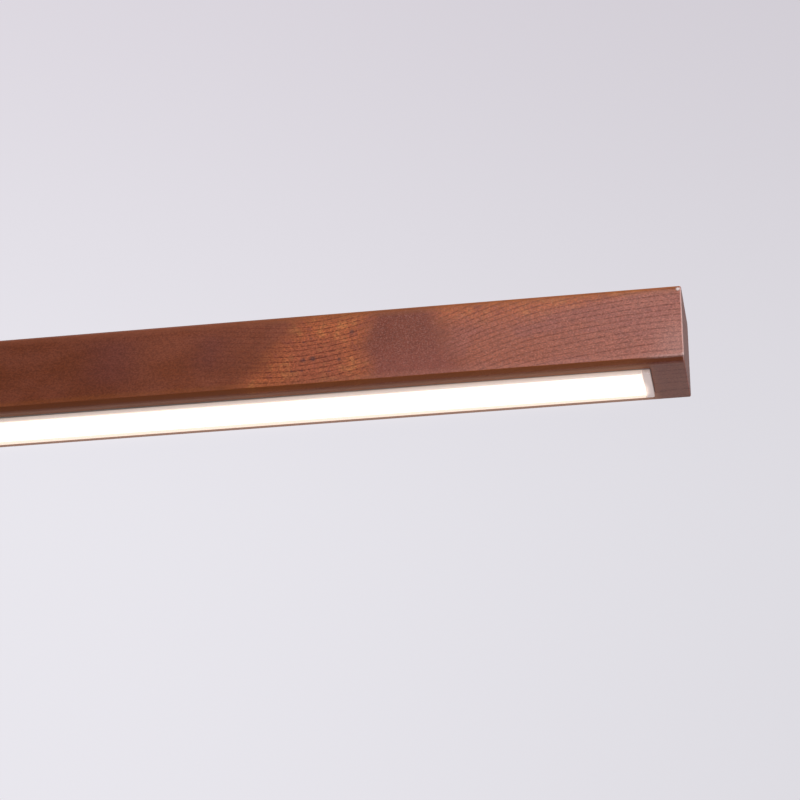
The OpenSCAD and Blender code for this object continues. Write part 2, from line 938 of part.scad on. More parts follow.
// The nipple guides the wire and carries the balls in a cage inside the barrel's cone
module release_nipple(side) {
    stem = stem_diameter / 2;
    head = head_diameter / 2;
    bore = wire_bore / 2;
    cage_bore_top = cage_top - cage_roof;
    color(steel_colour)
        at_wire(side)
            difference() {
                rotate_extrude()
                    polygon([
                        [cage_bore_radius, cage_z],
                        [cage_radius, cage_z],
                        [cage_radius, cage_top],
                        [stem, cage_top],
                        [stem, head_z],
                        [head, head_z],
                        [head, head_top - head_chamfer],
                        [head - head_chamfer, head_top],
                        [bore + mouth_chamfer, head_top],
                        [bore, head_top - mouth_chamfer],
                        [bore, cage_bore_top],
                        [cage_bore_radius, cage_bore_top]
                    ]);
                for (i = [0 : ball_count - 1])
                    rotate([0, 0, 360 * i / ball_count])
                        translate([0, 0, ball_z])
                            rotate([0, 90, 0])
                                cylinder(h = cage_radius + cut, d = ball_diameter + 2 * seat_slack);
            }
}

module release_nipple_left() {
    release_nipple(-1);
}

module release_nipple_right() {
    release_nipple(1);
}

module grip_balls(side) {
    color(steel_colour)
        at_wire(side)
            for (i = [0 : ball_count - 1])
                rotate([0, 0, 360 * i / ball_count])
                    translate([ball_orbit, 0, ball_z])
                        sphere(d = ball_diameter);
}

module grip_balls_left() {
    grip_balls(-1);
}

module grip_balls_right() {
    grip_balls(1);
}

// The spring stands on the base and pushes the cage up into the cone
spring_radius = (cage_bore_radius + cage_radius) / 2;
spring_rings = 10;
spring_climb = spring_length - spring_wire;
spring_steps = spring_turns * spring_rings;
spring_route = [
    for (i = [0 : spring_steps])
        let (turn = 360 * i / spring_rings)
        [
            spring_radius * cos(turn),
            spring_radius * sin(turn),
            base_top + spring_wire / 2 + spring_climb * i / spring_steps
        ]
];
spring_gap = min([
    for (i = [0 : spring_steps - 1], j = [i + 1 : spring_steps])
        if (j - i > spring_rings / 2) norm(spring_route[i] - spring_route[j]) - spring_wire
]);
echo(str("least gap between the spring's turns: ", spring_gap, " mm"));

module grip_spring(side) {
    color(steel_colour)
        at_wire(side)
            swept_tube(spring_route, spring_wire / 2, 6, [0, 0, 1]);
}

module grip_spring_left() {
    grip_spring(-1);
}

module grip_spring_right() {
    grip_spring(1);
}

wood_beam();
led_channel();
diffuser();
end_cap_left();
end_cap_right();
thermal_tapes();
led_board_left();
led_board_right();
leds_left();
leds_right();
board_link();
channel_screws();
lead_grommet();
driver_case();
driver_cover();
driver_board();
terminal_block();
terminal_screws();
pocket_screws();
mains_leads();
led_leads();
inlet_bush();
inlet_locknut();
insert_left();
insert_right();
washer_left();
washer_right();
grip_base_left();
grip_base_right();
grip_barrel_left();
grip_barrel_right();
grip_spring_left();
grip_spring_right();
release_nipple_left();
release_nipple_right();
grip_balls_left();
grip_balls_right();
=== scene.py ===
# %% [markdown]
# # A wooden linear pendant light, dressed in Blender
# The lamp is a stained wooden beam with a lit opal trough along its underside. It hangs on two steel wires,
# which the grippers on its top hold. Its construction comes packed from CAD as a frame of named solids, in
# metres and at their real size. This lesson gives that frame its looks, one piece at a time. X runs along
# the beam, the front faces -Y, Z is up, and the origin lies on the middle of the beam's top face.

# %% Load the frame
import math

import bmesh
import bpy
from mathutils import Matrix, Vector


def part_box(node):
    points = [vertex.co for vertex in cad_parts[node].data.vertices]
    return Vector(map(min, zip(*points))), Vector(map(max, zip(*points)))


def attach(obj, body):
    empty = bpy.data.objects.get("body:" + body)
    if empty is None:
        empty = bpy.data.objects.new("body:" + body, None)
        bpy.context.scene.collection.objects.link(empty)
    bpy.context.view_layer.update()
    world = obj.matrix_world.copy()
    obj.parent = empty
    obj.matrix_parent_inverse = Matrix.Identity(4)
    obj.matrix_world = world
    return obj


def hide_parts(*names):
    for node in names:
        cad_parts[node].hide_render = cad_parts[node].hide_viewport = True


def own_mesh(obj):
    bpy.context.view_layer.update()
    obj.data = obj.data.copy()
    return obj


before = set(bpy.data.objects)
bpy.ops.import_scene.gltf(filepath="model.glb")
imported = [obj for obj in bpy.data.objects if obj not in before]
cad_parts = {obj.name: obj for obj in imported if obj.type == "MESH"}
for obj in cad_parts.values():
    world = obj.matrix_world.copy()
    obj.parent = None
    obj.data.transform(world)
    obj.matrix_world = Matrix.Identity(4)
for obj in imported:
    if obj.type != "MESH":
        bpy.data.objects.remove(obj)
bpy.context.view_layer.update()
MM = 0.001
SIDES = ((-1, "left"), (1, "right"))

# %% [markdown]
# ## The camera
# The photograph looks up at the lamp's right-hand end through a long lens. Its place was worked out from
# the beam's edges: their slopes give the turn and tilt, and how fast they draw together gives the distance.
# A camera could be aimed by eye with a Track To constraint, but an exact match needs turn, tilt and roll as
# three numbers.

# %% Camera at the photograph's angle
PHOTO_SIDE_PX = 800
FOCAL_LENGTH_PX = 2507.1
SENSOR_MM = 36.0
CAMERA_PLACE = (0.67671, -1.33891, -0.72133)
CAMERA_TURN = math.radians(10.600)
CAMERA_TILT = math.radians(26.231)
CAMERA_ROLL = math.radians(0.460)

camera = bpy.data.objects.new("camera", bpy.data.cameras.new("camera"))
camera.data.sensor_width = SENSOR_MM
camera.data.lens = SENSOR_MM * FOCAL_LENGTH_PX / PHOTO_SIDE_PX
camera.matrix_world = (
    Matrix.Translation(CAMERA_PLACE)
    @ Matrix.Rotation(CAMERA_TURN, 4, "Z")
    @ Matrix.Rotation(math.pi / 2 + CAMERA_TILT, 4, "X")
    @ Matrix.Rotation(CAMERA_ROLL, 4, "Z")
)
bpy.context.scene.collection.objects.link(camera)
bpy.context.scene.camera = camera
print(f"camera: lens {camera.data.lens:.1f} mm")

# %% [markdown]
# ## Node trees that read like sums
# Materials, the studio's sky and Geometry Nodes are all trees of nodes. Writing each node with its links
# takes several lines, so a few small helpers do it in one. A Wire is one output of a node. A Python class
# can say what +, -, * and / do with it, so here they add Math nodes to its tree, and the finishes below
# read like sums.

# %% Wires


class Wire:
    """One output of a node, whose sums and products are Math nodes in the same tree."""

    def __init__(self, socket):
        self.socket, self.tree = socket, socket.id_data

    def __add__(self, other):
        return calc("ADD", self, other)

    def __sub__(self, other):
        return calc("SUBTRACT", self, other)

    def __rsub__(self, other):
        return calc("SUBTRACT", other, self)

    def __mul__(self, other):
        return calc("MULTIPLY", self, other)

    def __truediv__(self, other):
        return calc("DIVIDE", self, other)

    def __pow__(self, power):
        return calc("POWER", self, power)

    def __abs__(self):
        return calc("ABSOLUTE", self)


def feed(node, inputs):
    """Links a node's inputs to wires, or sets them to values, by name or number."""
    for name, value in inputs.items():
        if isinstance(value, Wire):
            value.tree.links.new(value.socket, node.inputs[name])
        else:
            node.inputs[name].default_value = value


def add(tree, kind, inputs=None, **settings):
    """A new node with these settings and inputs."""
    made = tree.nodes.new(kind)
    for name, value in settings.items():
        setattr(made, name, value)
    feed(made, inputs or {})
    return made


def wire(tree, kind, inputs=None, output=0, **settings):
    """One output of a new node."""
    return Wire(add(tree, kind, inputs, **settings).outputs[output])


def outputs_of(node):
    return {socket.name: Wire(socket) for socket in node.outputs}


def tree_of(*values):
    """The tree of the first wire among these values."""
    return next(value.tree for value in values if isinstance(value, Wire))


def calc(operation, first, second=0.0, clamp=False):
    inputs = {0: first, 1: second}
    return wire(tree_of(first, second), "ShaderNodeMath", inputs, operation=operation, use_clamp=clamp)


print("helpers: wires")

# %% [markdown]
# The next helpers are the words that the finishes are written in: soft steps and masks, colours that mix,
# vectors, and noise. Noise that is stretched to a size in X, Y and Z makes fibres, lines and clouds, and
# sizes in millimetres keep it true to the piece.

# %% Masks, colours and noise


def most(*values):
    """The largest of several values."""
    largest = values[0]
    for value in values[1:]:
        largest = calc("MAXIMUM", largest, value)
    return largest


def smooth(value, low, high, start=0.0, end=1.0):
    """A soft step of a value: start below low, end above high, and an S-curve between them."""
    inputs = {"Value": value, "From Min": low, "From Max": high, "To Min": start, "To Max": end}
    return wire(value.tree, "ShaderNodeMapRange", inputs, interpolation_type="SMOOTHSTEP")


def fade(value, low, high):
    """A soft step down from 1 to 0."""
    return smooth(value, low, high, 1.0, 0.0)


def span(value, start, start_soft, end, end_soft):
    """A mask that is 1 between two places, each with its own softness."""
    rises = smooth(value, start - start_soft, start + start_soft)
    return rises * fade(value, end - end_soft, end + end_soft)


def colour(red, green, blue):
    return (red, green, blue, 1.0)


def mix(share, first, second, blend="MIX"):
    inputs = {0: share, 6: first, 7: second}
    return wire(tree_of(share, first, second), "ShaderNodeMix", inputs, 2, data_type="RGBA", blend_type=blend)


def vector_of(x, y=0.0, z=0.0):
    return wire(tree_of(x, y, z), "ShaderNodeCombineXYZ", {0: x, 1: y, 2: z})


def axes_of(vector):
    """The X, Y and Z of a vector."""
    return outputs_of(add(vector.tree, "ShaderNodeSeparateXYZ", {0: vector})).values()


def vector_math(operation, first, second=(0, 0, 0), output=0):
    inputs = {0: first, 1: second}
    return wire(first.tree, "ShaderNodeVectorMath", inputs, output, operation=operation)


def shaded(tint, share):
    """A colour times a grey."""
    return mix(1.0, tint, vector_of(share, share, share), "MULTIPLY")


def noise(place, scale=1.0, detail=2.0, roughness=0.5):
    inputs = {"Vector": place, "Scale": scale, "Detail": detail, "Roughness": roughness}
    return wire(place.tree, "ShaderNodeTexNoise", inputs, "Fac")


def grain(place, size, detail=2.0, roughness=0.5):
    """Noise whose features are about so many units long in X, Y and Z."""
    stretched = vector_math("MULTIPLY", place, tuple(1 / length for length in size))
    return noise(stretched, 1.0, detail, roughness)


def object_millimetres(tree):
    """The piece's own coordinates, in millimetres, so that a pattern's sizes read as real sizes."""
    place = wire(tree, "ShaderNodeTexCoord", output="Object")
    return wire(tree, "ShaderNodeVectorMath", {0: place, "Scale": 1 / MM}, operation="SCALE")


print("helpers: masks, colours and noise")

# %% [markdown]
# ## The studio
# The photograph shows the lamp before a pale wall that darkens a little to the top and to the right. A sky
# of one colour would put an even haze over all the wood, but in the photograph the left of the front is
# deep and dark and the right is hazy. So the sky that the camera sees is the wall, and the sky that lights
# the lamp is dim in front and brighter behind.

# %% World
WALL_LOW = colour(0.815, 0.800, 0.852)
WALL_HIGH = colour(0.709, 0.670, 0.732)
WALL_RIGHT = 0.88
SKY_FRONT = colour(0.150, 0.145, 0.155)
SKY_BEHIND = colour(0.42, 0.40, 0.43)
SKY_ABOVE = colour(0.16, 0.155, 0.16)


def light_studio_sky():
    world = bpy.data.worlds.new("studio")
    bpy.context.scene.world = world
    world.use_nodes = True
    tree = world.node_tree
    tree.nodes.clear()
    x, y, z = axes_of(wire(tree, "ShaderNodeTexCoord", output="Generated"))
    wall = mix(smooth(z, 0.38, 0.64), WALL_LOW, WALL_HIGH)
    wall = shaded(wall, smooth(x, -0.36, 0.10, 1.0, WALL_RIGHT))
    sides = mix(smooth(y, -0.5, 0.5), SKY_FRONT, SKY_BEHIND)
    sky = mix(smooth(z, 0.45, 0.95), sides, SKY_ABOVE)
    seen = wire(tree, "ShaderNodeBackground", {"Color": wall})
    lighting = wire(tree, "ShaderNodeBackground", {"Color": sky})
    camera_ray = wire(tree, "ShaderNodeLightPath", output="Is Camera Ray")
    both = wire(tree, "ShaderNodeMixShader", {0: camera_ray, 1: lighting, 2: seen})
    add(tree, "ShaderNodeOutputWorld", {"Surface": both})


light_studio_sky()
bpy.context.scene.view_settings.view_transform = "Standard"
print("studio: sky")

# %% [markdown]
# Four softboxes do the rest. The main one stands at the front right, where the right half of the front
# mirrors it as haze. A small one at the right lights the beam's end. A weak one, low at the left, fills the
# far half of the lamp without being mirrored towards the camera. A wide one, low behind the lamp, is what
# the underside mirrors.

# %% Softboxes
LAMP_RIGHT = (0.55, 0.0, -0.03)
LAMP_LEFT = (-0.45, 0.0, -0.03)
LAMP_UNDERSIDE = (0.30, 0.0, -0.05)


def softbox(name, place, target, width, height, power, tint):
    lamp = bpy.data.lights.new(name, "AREA")
    lamp.shape = "RECTANGLE"
    lamp.size, lamp.size_y = width, height
    lamp.energy, lamp.color = power, tint
    box = bpy.data.objects.new(name, lamp)
    box.location = place
    box.rotation_mode = "QUATERNION"
    box.rotation_quaternion = (Vector(target) - Vector(place)).to_track_quat("-Z", "Y")
    box.visible_camera = False
    bpy.context.scene.collection.objects.link(box)


softbox("front_softbox", (0.70, -0.95, 0.50), LAMP_RIGHT, 0.9, 0.8, 7.0, (1.0, 0.95, 0.97))
softbox("side_softbox", (1.92, -0.12, 0.68), LAMP_RIGHT, 0.4, 1.0, 9.5, (1.0, 0.97, 0.97))
softbox("left_fill", (-0.90, -1.10, -0.90), LAMP_LEFT, 0.8, 0.8, 1.6, (1.0, 0.95, 0.92))
softbox("rear_softbox", (0.05, 1.80, -0.95), LAMP_UNDERSIDE, 2.2, 1.0, 4.8, (1.0, 0.98, 0.96))
print("studio: softboxes")

# %% [markdown]
# A lens spreads very bright light a little, so the lit strip has a faint glow around it. The compositor's
# Glare node adds that glow to the finished picture. It could be painted onto the wood instead, but then it
# would stay there in every view and with the lamp switched off.

# %% Bloom
BLOOM_STRENGTH = 0.32
BLOOM_SIZE = 0.02
BLOOM_TINT = colour(1.0, 0.84, 0.70)


def add_bloom():
    scene = bpy.context.scene
    scene.use_nodes = True
    tree = scene.node_tree
    tree.nodes.clear()
    picture = wire(tree, "CompositorNodeRLayers", output="Image")
    inputs = {"Image": picture, "Strength": BLOOM_STRENGTH, "Size": BLOOM_SIZE, "Tint": BLOOM_TINT}
    bloom = wire(tree, "CompositorNodeGlare", inputs, "Image", glare_type="BLOOM")
    add(tree, "CompositorNodeComposite", {"Image": bloom})


add_bloom()
print("studio: bloom")

# %% [markdown]
# ## The floor
# The lamp hangs, so the floor lies well below it and only shows from above. It is one large round plane
# with a barely mottled pale finish. The dim sky would leave it grey, so it gives a camera that looks at it
# some light of its own, which doesn't reach the lamp. From below it is clear, so that it never hides the
# lamp.

# %% Floor
FLOOR_DEPTH = 1.6
FLOOR_RADIUS = 24.0
FLOOR_SIDES = 64
FLOOR_LIFT = 0.6


def new_finish(name, constants=None):
    """A material with its tree and its Principled shader, whose constant sockets are set by name."""
    material = bpy.data.materials.new(name)
    material.use_nodes = True
    shader = material.node_tree.nodes["Principled BSDF"]
    feed(shader, constants or {})
    return material, material.node_tree, shader


def pale_floor():
    material, tree, shader = new_finish("pale_floor", {"Roughness": 0.7})
    cloud = noise(wire(tree, "ShaderNodeTexCoord", output="Object"), 0.8, 3.0)
    shade = mix(cloud, colour(0.78, 0.76, 0.80), colour(0.82, 0.80, 0.83))
    seen = wire(tree, "ShaderNodeLightPath", output="Is Camera Ray")
    feed(shader, {"Base Color": shade, "Emission Color": shade, "Emission Strength": seen * FLOOR_LIFT})
    below = wire(tree, "ShaderNodeNewGeometry", output="Backfacing")
    clear = wire(tree, "ShaderNodeBsdfTransparent")
    surface = wire(tree, "ShaderNodeMixShader", {0: below, 1: Wire(shader.outputs[0]), 2: clear})
    feed(tree.nodes["Material Output"], {"Surface": surface})
    return material


def finished_mesh(name, build, finish):
    """A new object from a bmesh, with its finish."""
    mesh = bpy.data.meshes.new(name)
    build.to_mesh(mesh)
    build.free()
    mesh.materials.append(finish)
    piece = bpy.data.objects.new(name, mesh)
    bpy.context.scene.collection.objects.link(piece)
    return piece


disc = bmesh.new()
bmesh.ops.create_circle(disc, cap_ends=True, radius=FLOOR_RADIUS, segments=FLOOR_SIDES)
bmesh.ops.translate(disc, verts=disc.verts, vec=(0, 0, -FLOOR_DEPTH))
floor = finished_mesh("floor", disc, pale_floor())
print("floor: at", -FLOOR_DEPTH, "m")

# %% [markdown]
# ## Shared surface effects
# Nothing real is evenly smooth. Metal, plastic and lacquer all carry faint handling marks: cloudy smudges
# that change the gloss, and a fine grain. That effect serves many finishes, so it is one node group. It
# puts out a roughness, and a height for a Bump node, and each finish gives it its own values.

# %% Handling marks
SOCKET_KINDS = {
    "value": "NodeSocketFloat",
    "vector": "NodeSocketVector",
    "count": "NodeSocketInt",
    "object": "NodeSocketObject",
    "material": "NodeSocketMaterial",
    "geometry": "NodeSocketGeometry",
}


def new_group(name, kind, takes, gives):
    """An empty node group with its sockets, as (tree, what it takes, its output node)."""
    tree = bpy.data.node_groups.new(name, kind)
    for in_out, sockets in (("INPUT", takes), ("OUTPUT", gives)):
        for socket, socket_kind in sockets.items():
            tree.interface.new_socket(socket, in_out=in_out, socket_type=SOCKET_KINDS[socket_kind])
    return tree, outputs_of(add(tree, "NodeGroupInput")), add(tree, "NodeGroupOutput")


def handling_marks_group():
    takes = {"Place": "vector", "Smudge Size": "value", "Roughness": "value", "Change": "value"}
    gives = {"Roughness": "value", "Height": "value"}
    tree, given, out = new_group("handling marks", "ShaderNodeTree", takes, gives)
    smudge = noise(vector_math("DIVIDE", given["Place"], given["Smudge Size"]), 1.0, 3.0, 0.6)
    swing = (smudge - 0.5) * given["Change"]
    roughness = calc("ADD", given["Roughness"], swing, clamp=True)
    feed(out, {"Roughness": roughness, "Height": smudge + noise(given["Place"], 4.0)})
    return tree


HANDLING_MARKS = handling_marks_group()


def marks_of(place, smudge_size, roughness, change):
    """The handling marks' outputs in a finish's tree, with that finish's own values."""
    inputs = {"Place": place, "Smudge Size": smudge_size, "Roughness": roughness, "Change": change}
    return outputs_of(add(place.tree, "ShaderNodeGroup", inputs, node_tree=HANDLING_MARKS))


print("group:", HANDLING_MARKS.name)

# %% [markdown]
# The second shared effect is the mark of the tool or die. Drawn aluminium shows fine lines along its
# length, and turned metal shows fine rings around its axis. Both are noise that is stretched in one
# direction. The stretched sizes come in as a vector, in millimetres.

# %% Tool lines


def tool_lines_group():
    takes = {"Place": "vector", "Line Size": "vector"}
    tree, given, out = new_group("tool lines", "ShaderNodeTree", takes, {"Lines": "value"})
    drawn = vector_math("DIVIDE", given["Place"], given["Line Size"])
    feed(out, {"Lines": noise(drawn, 1.0, 4.0, 0.65)})
    return tree


TOOL_LINES = tool_lines_group()


def lines_of(place, line_size):
    inputs = {"Place": place, "Line Size": line_size}
    return wire(place.tree, "ShaderNodeGroup", inputs, "Lines", node_tree=TOOL_LINES)


def add_bump(shader, height, depth, strength):
    inputs = {"Height": height, "Distance": depth, "Strength": strength}
    feed(shader, {"Normal": wire(height.tree, "ShaderNodeBump", inputs)})


print("group:", TOOL_LINES.name)

# %% [markdown]
# ## Stained wood: year lines
# The beam is a light timber under a reddish-brown stain and a satin lacquer. A photograph could be wrapped
# round it as an image texture, but it would stretch over the edges and end where the picture ends. Solid
# procedural wood goes right through the piece instead: year rings round a pith below the beam, bent where
# the trunk was bent, and cut open by every face. A year line is thin, dark and often broken, so the rings'
# mask is narrow and a noise that follows each ring breaks it up.

# %% Year lines
PITH_Y, PITH_Z = 34.0, -150.0
RING_PITCH = 3.15
DRIFT = 5.0


def ring_distance(place):
    """Distance from the bent pith, in millimetres."""
    x, y, z = axes_of(place)
    ripple = grain(place, (16, 6, 6))
    bent = z + (grain(place, (140, 70, 70), 1.0) * DRIFT + ripple)
    sag = smooth(x, 230, 375, 0, 12)
    rise = smooth(x, 360, 520, 0, 30) + smooth(x, 400, 600, 0, 22) - sag
    above = bent - rise - PITH_Z
    return calc("SQRT", (y - PITH_Y) ** 2.0 + above ** 2.0)


def year_lines(place):
    """A mask of thin dark lines, one a year, with gaps."""
    x, y, _ = axes_of(place)
    ring = ring_distance(place)
    uneven = noise(vector_of(ring), 0.11, 1.0)
    phase = calc("FRACT", ring / RING_PITCH + uneven * 1.5)
    line = smooth(phase, 0.64, 0.84) * fade(phase, 0.88, 1.0)
    along = vector_of(x, ring * 6.0, y)
    broken = smooth(grain(along, (1.8, 13, 40), 3.0, 0.6), 0.38, 0.54)
    faintest = smooth(x, 405, 440, 0.30, 0.25)
    return line * most(broken, faintest)


print("year lines: one every", RING_PITCH, "mm")

# %% [markdown]
# ## Stained wood: where the figure shows
# The stain covers the wood unevenly. On the front, the left stretch is plain and dark with two purplish
# bruises. Then comes an orange patch where the year lines show best, with a slanting left end and a few
# dark flecks. After a plain mauve stretch, faint lines rise to the right-hand end. These places are given
# along the beam, in millimetres from its middle, and a slow noise frays their ends. Beyond the photograph a
# noise spreads like patches.

# %% Figure masks
FRAY = 16.0
MIDDLE_Z = -25.0
PATCH_LEFT, PATCH_RIGHT = (341, 366), (400, 419)
MAUVE_LEFT, MAUVE_RIGHT = (398, 422), (448, 474)
LEFT_BRUISE = ((236, 16, 264, 16), (-38, 8, -8, 6))
RIGHT_BRUISE = ((304, 14, 324, 14), (-34, 8, -10, 6))


def figure_masks(place):
    """Masks of the patch, its heart, the right part, the bruises, the mauve stretch and the top glow."""
    x, y, z = axes_of(place)
    frayed = x + (grain(place, (24, 24, 18), 3.0) - 0.5) * FRAY
    height = z - MIDDLE_Z
    slanted = frayed - height * 0.82
    leaning = frayed + height * 0.4
    patch = smooth(slanted, *PATCH_LEFT) * fade(frayed, *PATCH_RIGHT)
    clouds = grain(place, (95, 60, 60))
    elsewhere = smooth(clouds, 0.42, 0.66, 0.0, 0.7) * fade(x, 120, 150)
    left, right = (span(frayed, *wide) * span(z, *high) for wide, high in (LEFT_BRUISE, RIGHT_BRUISE))
    glow_depth = smooth(x, 500, 595, 20.0, 4.0)
    top_glow = smooth(frayed, 444, 462) * smooth(z / glow_depth, -1.0, -0.2)
    return {
        "patch": most(patch, elsewhere),
        "right": smooth(leaning, *MAUVE_RIGHT),
        "bruises": left + right,
        "mauve": smooth(frayed, *MAUVE_LEFT) * fade(leaning, *MAUVE_RIGHT),
        "top glow": top_glow * fade(y, -22, -6),
        "heart": span(frayed, 362, 10, 396, 10) * smooth(z, -26, -12, 0.42, 0.0),
    }


FLECKS = (
    (371.4, -31.5, 2.0), (377.4, -31.0, 2.4), (401.0, -14.5, 2.0), (364.4, -38.5, 1.2), (370.6, -38.7, 1.3),
    (393.4, -33.0, 1.6), (387.4, -40.5, 1.4), (375.8, -17.3, 1.2), (371.4, -19.5, 1.1),
)


def flecks(place):
    """Small dark flecks in the patch, each given by its place and radius on the front face."""
    x, _, z = axes_of(place)
    rough = noise(place, 0.9) * 1.6
    masks = []
    for fleck_x, fleck_z, radius in FLECKS:
        far = vector_math("LENGTH", vector_of(x - fleck_x, 0.0, z - fleck_z), output="Value")
        masks.append(fade(far + rough, radius * 0.6, radius + 0.9))
    return most(*masks)


print("figure: patch, right part, bruises and", len(FLECKS), "flecks")

# %% [markdown]
# ## Stained wood: stain and pores
# The colours are laid over each other as a finisher would: a mottled dark stain, orange where it took less,
# thin year lines, then pores, and fine light specks that are painted glints of the lacquer. A colour ramp
# over one noise would be shorter, but it couldn't put each tone in its own place.

# %% Stain and pores
STAIN_DARK = colour(0.218, 0.051, 0.016)
STAIN_RED = colour(0.261, 0.068, 0.030)
STAIN_PURPLE = colour(0.207, 0.053, 0.036)
STAIN_ORANGE = colour(0.546, 0.139, 0.041)
STAIN_GOLD = colour(0.616, 0.205, 0.057)
STAIN_PLUM = colour(0.352, 0.084, 0.049)
STAIN_MAUVE = colour(0.262, 0.060, 0.029)
MAUVE_LOW = colour(0.318, 0.077, 0.045)
STAIN_ROSE = colour(0.446, 0.124, 0.061)
STAIN_PINK = colour(0.463, 0.150, 0.098)
STAIN_LILAC = colour(0.385, 0.120, 0.091)
YEAR_LINE = colour(0.175, 0.027, 0.006)
FLECK = colour(0.085, 0.038, 0.036)
GLINT_SPECK = colour(0.700, 0.340, 0.260)


def stain_colour(place, masks, line):
    """The stain with its figure, year lines and flecks."""
    x, _, z = axes_of(place)
    mottle = grain(place, (42, 30, 22), 3.0, 0.6)
    stain = mix(smooth(mottle, 0.36, 0.64), STAIN_DARK, STAIN_RED)
    stain = shaded(stain, smooth(x, 245, 300, 0.98, 1.14))
    stain = mix(masks["bruises"] * 0.7, stain, STAIN_PURPLE)
    stain = mix(masks["mauve"], stain, mix(smooth(z, -42, -16), MAUVE_LOW, STAIN_MAUVE))
    cloudy = smooth(grain(place, (30, 20, 16)), 0.50, 0.66, 0.0, 0.45)
    pink = mix(smooth(x, 490, 600), STAIN_ROSE, STAIN_PINK)
    stain = mix(masks["right"], stain, mix(cloudy, pink, STAIN_LILAC))
    spots = grain(place, (8, 6, 7), 3.0, 0.6)
    orange = mix(smooth(spots, 0.50, 0.68), STAIN_ORANGE, STAIN_GOLD)
    orange = mix(most(smooth(spots, 0.30, 0.44, 0.6, 0.0), masks["heart"]), orange, STAIN_PLUM)
    uneven = smooth(mottle, 0.25, 0.6, 0.6, 1.0)
    stain = mix(most(masks["patch"], masks["top glow"]) * uneven, stain, orange)
    around_patch = span(x, 318, 24, 424, 12)
    strength = most(masks["patch"] * 0.88, masks["right"] * 0.66, around_patch * 0.40)
    stain = mix(line * (strength + 0.10), stain, YEAR_LINE)
    return mix(flecks(place) * 0.68, stain, FLECK)


def pores_and_glint_specks(place, masks, stain):
    """The stain with short upright ticks, fine fibre and light specks that are painted glints; also gives the
    fibre.
    """
    fibre = grain(place, (1.1, 0.8, 0.75), 2.0, 0.6)
    ticks = smooth(grain(place, (0.8, 2.2, 2.2), 1.0), 0.62, 0.74)
    stain = mix(ticks * (masks["patch"] * 0.55), stain, YEAR_LINE)
    # Painted glints: light specks in the right part and the mauve stretch, for the lacquer's sparkle on the
    # pores.
    glint_specks = smooth(grain(place, (0.65, 0.6, 0.6), 1.0), 0.48, 0.78)
    glint_share = most(masks["right"], masks["mauve"]) * 0.26 + 0.04
    stain = mix(glint_specks * glint_share, stain, GLINT_SPECK)
    strength = most(masks["patch"], masks["right"] * 0.5) * 0.20 + 0.46
    uneven = smooth(fibre, 0.28, 0.72) - 0.5
    return shaded(stain, uneven * strength + 1.0), fibre


print("stain: base, bruises, mauve, pink and orange")

# %% [markdown]
# ## Stained wood: edges
# Along the edges the stain is rubbed through to a lighter orange, which on the upward chamfer is also painted
# top light. The lower front edge carries a painted highlight, paler near the ends, and the end edges and the
# corners at the ends carry pale painted highlights. These places are found from the surface normal: it turns
# quickly there, and lies square to the piece elsewhere. The underside and the low chamfers have tones of
# their own, and beside the lit trough the underside carries painted light from it. Bevelled edges could carry
# vertex colours instead, but the normal needs no painting and works on every edge.

# %% Edges of the wood
# Rubbed-through orange, also painted top light on the upward chamfer; the pink and the end tone are painted
# highlights.
RUBBED_ORANGE_AND_PAINTED_LIGHT = colour(0.400, 0.118, 0.020)
RUBBED_AND_PAINTED_LIGHT_LEFT = colour(0.385, 0.118, 0.056)
PAINTED_LOW_HIGHLIGHT_PINK = colour(0.640, 0.260, 0.185)
PAINTED_END_HIGHLIGHT = colour(0.72, 0.42, 0.36)
UNDERSIDE = colour(0.283, 0.102, 0.061)
# Painted light from the lit trough on the underside beside it.
PAINTED_TROUGH_LIGHT_LIP = colour(0.392, 0.125, 0.046)
PAINTED_TROUGH_LIGHT_LIP_RIGHT = colour(0.600, 0.222, 0.076)
PAINTED_TROUGH_LIGHT_REAR_LIP = colour(0.620, 0.290, 0.170)
CHAMFER_LEFT = colour(0.276, 0.064, 0.006)
CHAMFER_RIGHT = colour(0.402, 0.112, 0.018)
# Painted glints on the corners at the ends.
CORNER_GLINT = colour(0.97, 0.90, 0.86)
GLINT_TOP = (598.2, 25.4, -3.3)
GLINT_LOW = (599.4, 25.0, -46.6)


def facing_masks(tree):
    """How far the surface faces an end, a side and up, and masks of its edges and chamfers."""
    normal = wire(tree, "ShaderNodeNewGeometry", output="Normal")
    _, _, upward = axes_of(normal)
    to_end, to_side, level = axes_of(vector_math("ABSOLUTE", normal))
    slope = (to_side + level) * math.sqrt(0.5)
    edge = fade(most(to_end, to_side, level, slope), 0.940, 0.997)
    return to_end, to_side, upward, edge, smooth(slope, 0.93, 0.985)


def underside_trough_light_and_chamfers(place, facing, stain):
    x, y, _ = axes_of(place)
    _, _, upward, _, chamfer = facing
    underside = fade(upward, -0.97, -0.85)
    # Painted light from the lit trough on the underside beside it, warmer to the right and paler on the rear
    # lip.
    in_trough_light = underside * fade(abs(x), 574, 584)
    stain = mix(underside * 0.6, stain, UNDERSIDE)
    stain = mix(in_trough_light * 0.5, stain, mix(smooth(x, 350, 550), PAINTED_TROUGH_LIGHT_LIP, PAINTED_TROUGH_LIGHT_LIP_RIGHT))
    stain = mix(in_trough_light * smooth(y, 16.0, 17.0), stain, PAINTED_TROUGH_LIGHT_REAR_LIP)
    paler = smooth(x, 150, 560) * fade(abs(x), 566, 588)
    low_chamfer = chamfer * smooth(upward, -0.5, -0.2, 0.85, 0.0)
    return mix(low_chamfer, stain, mix(paler, CHAMFER_LEFT, CHAMFER_RIGHT))


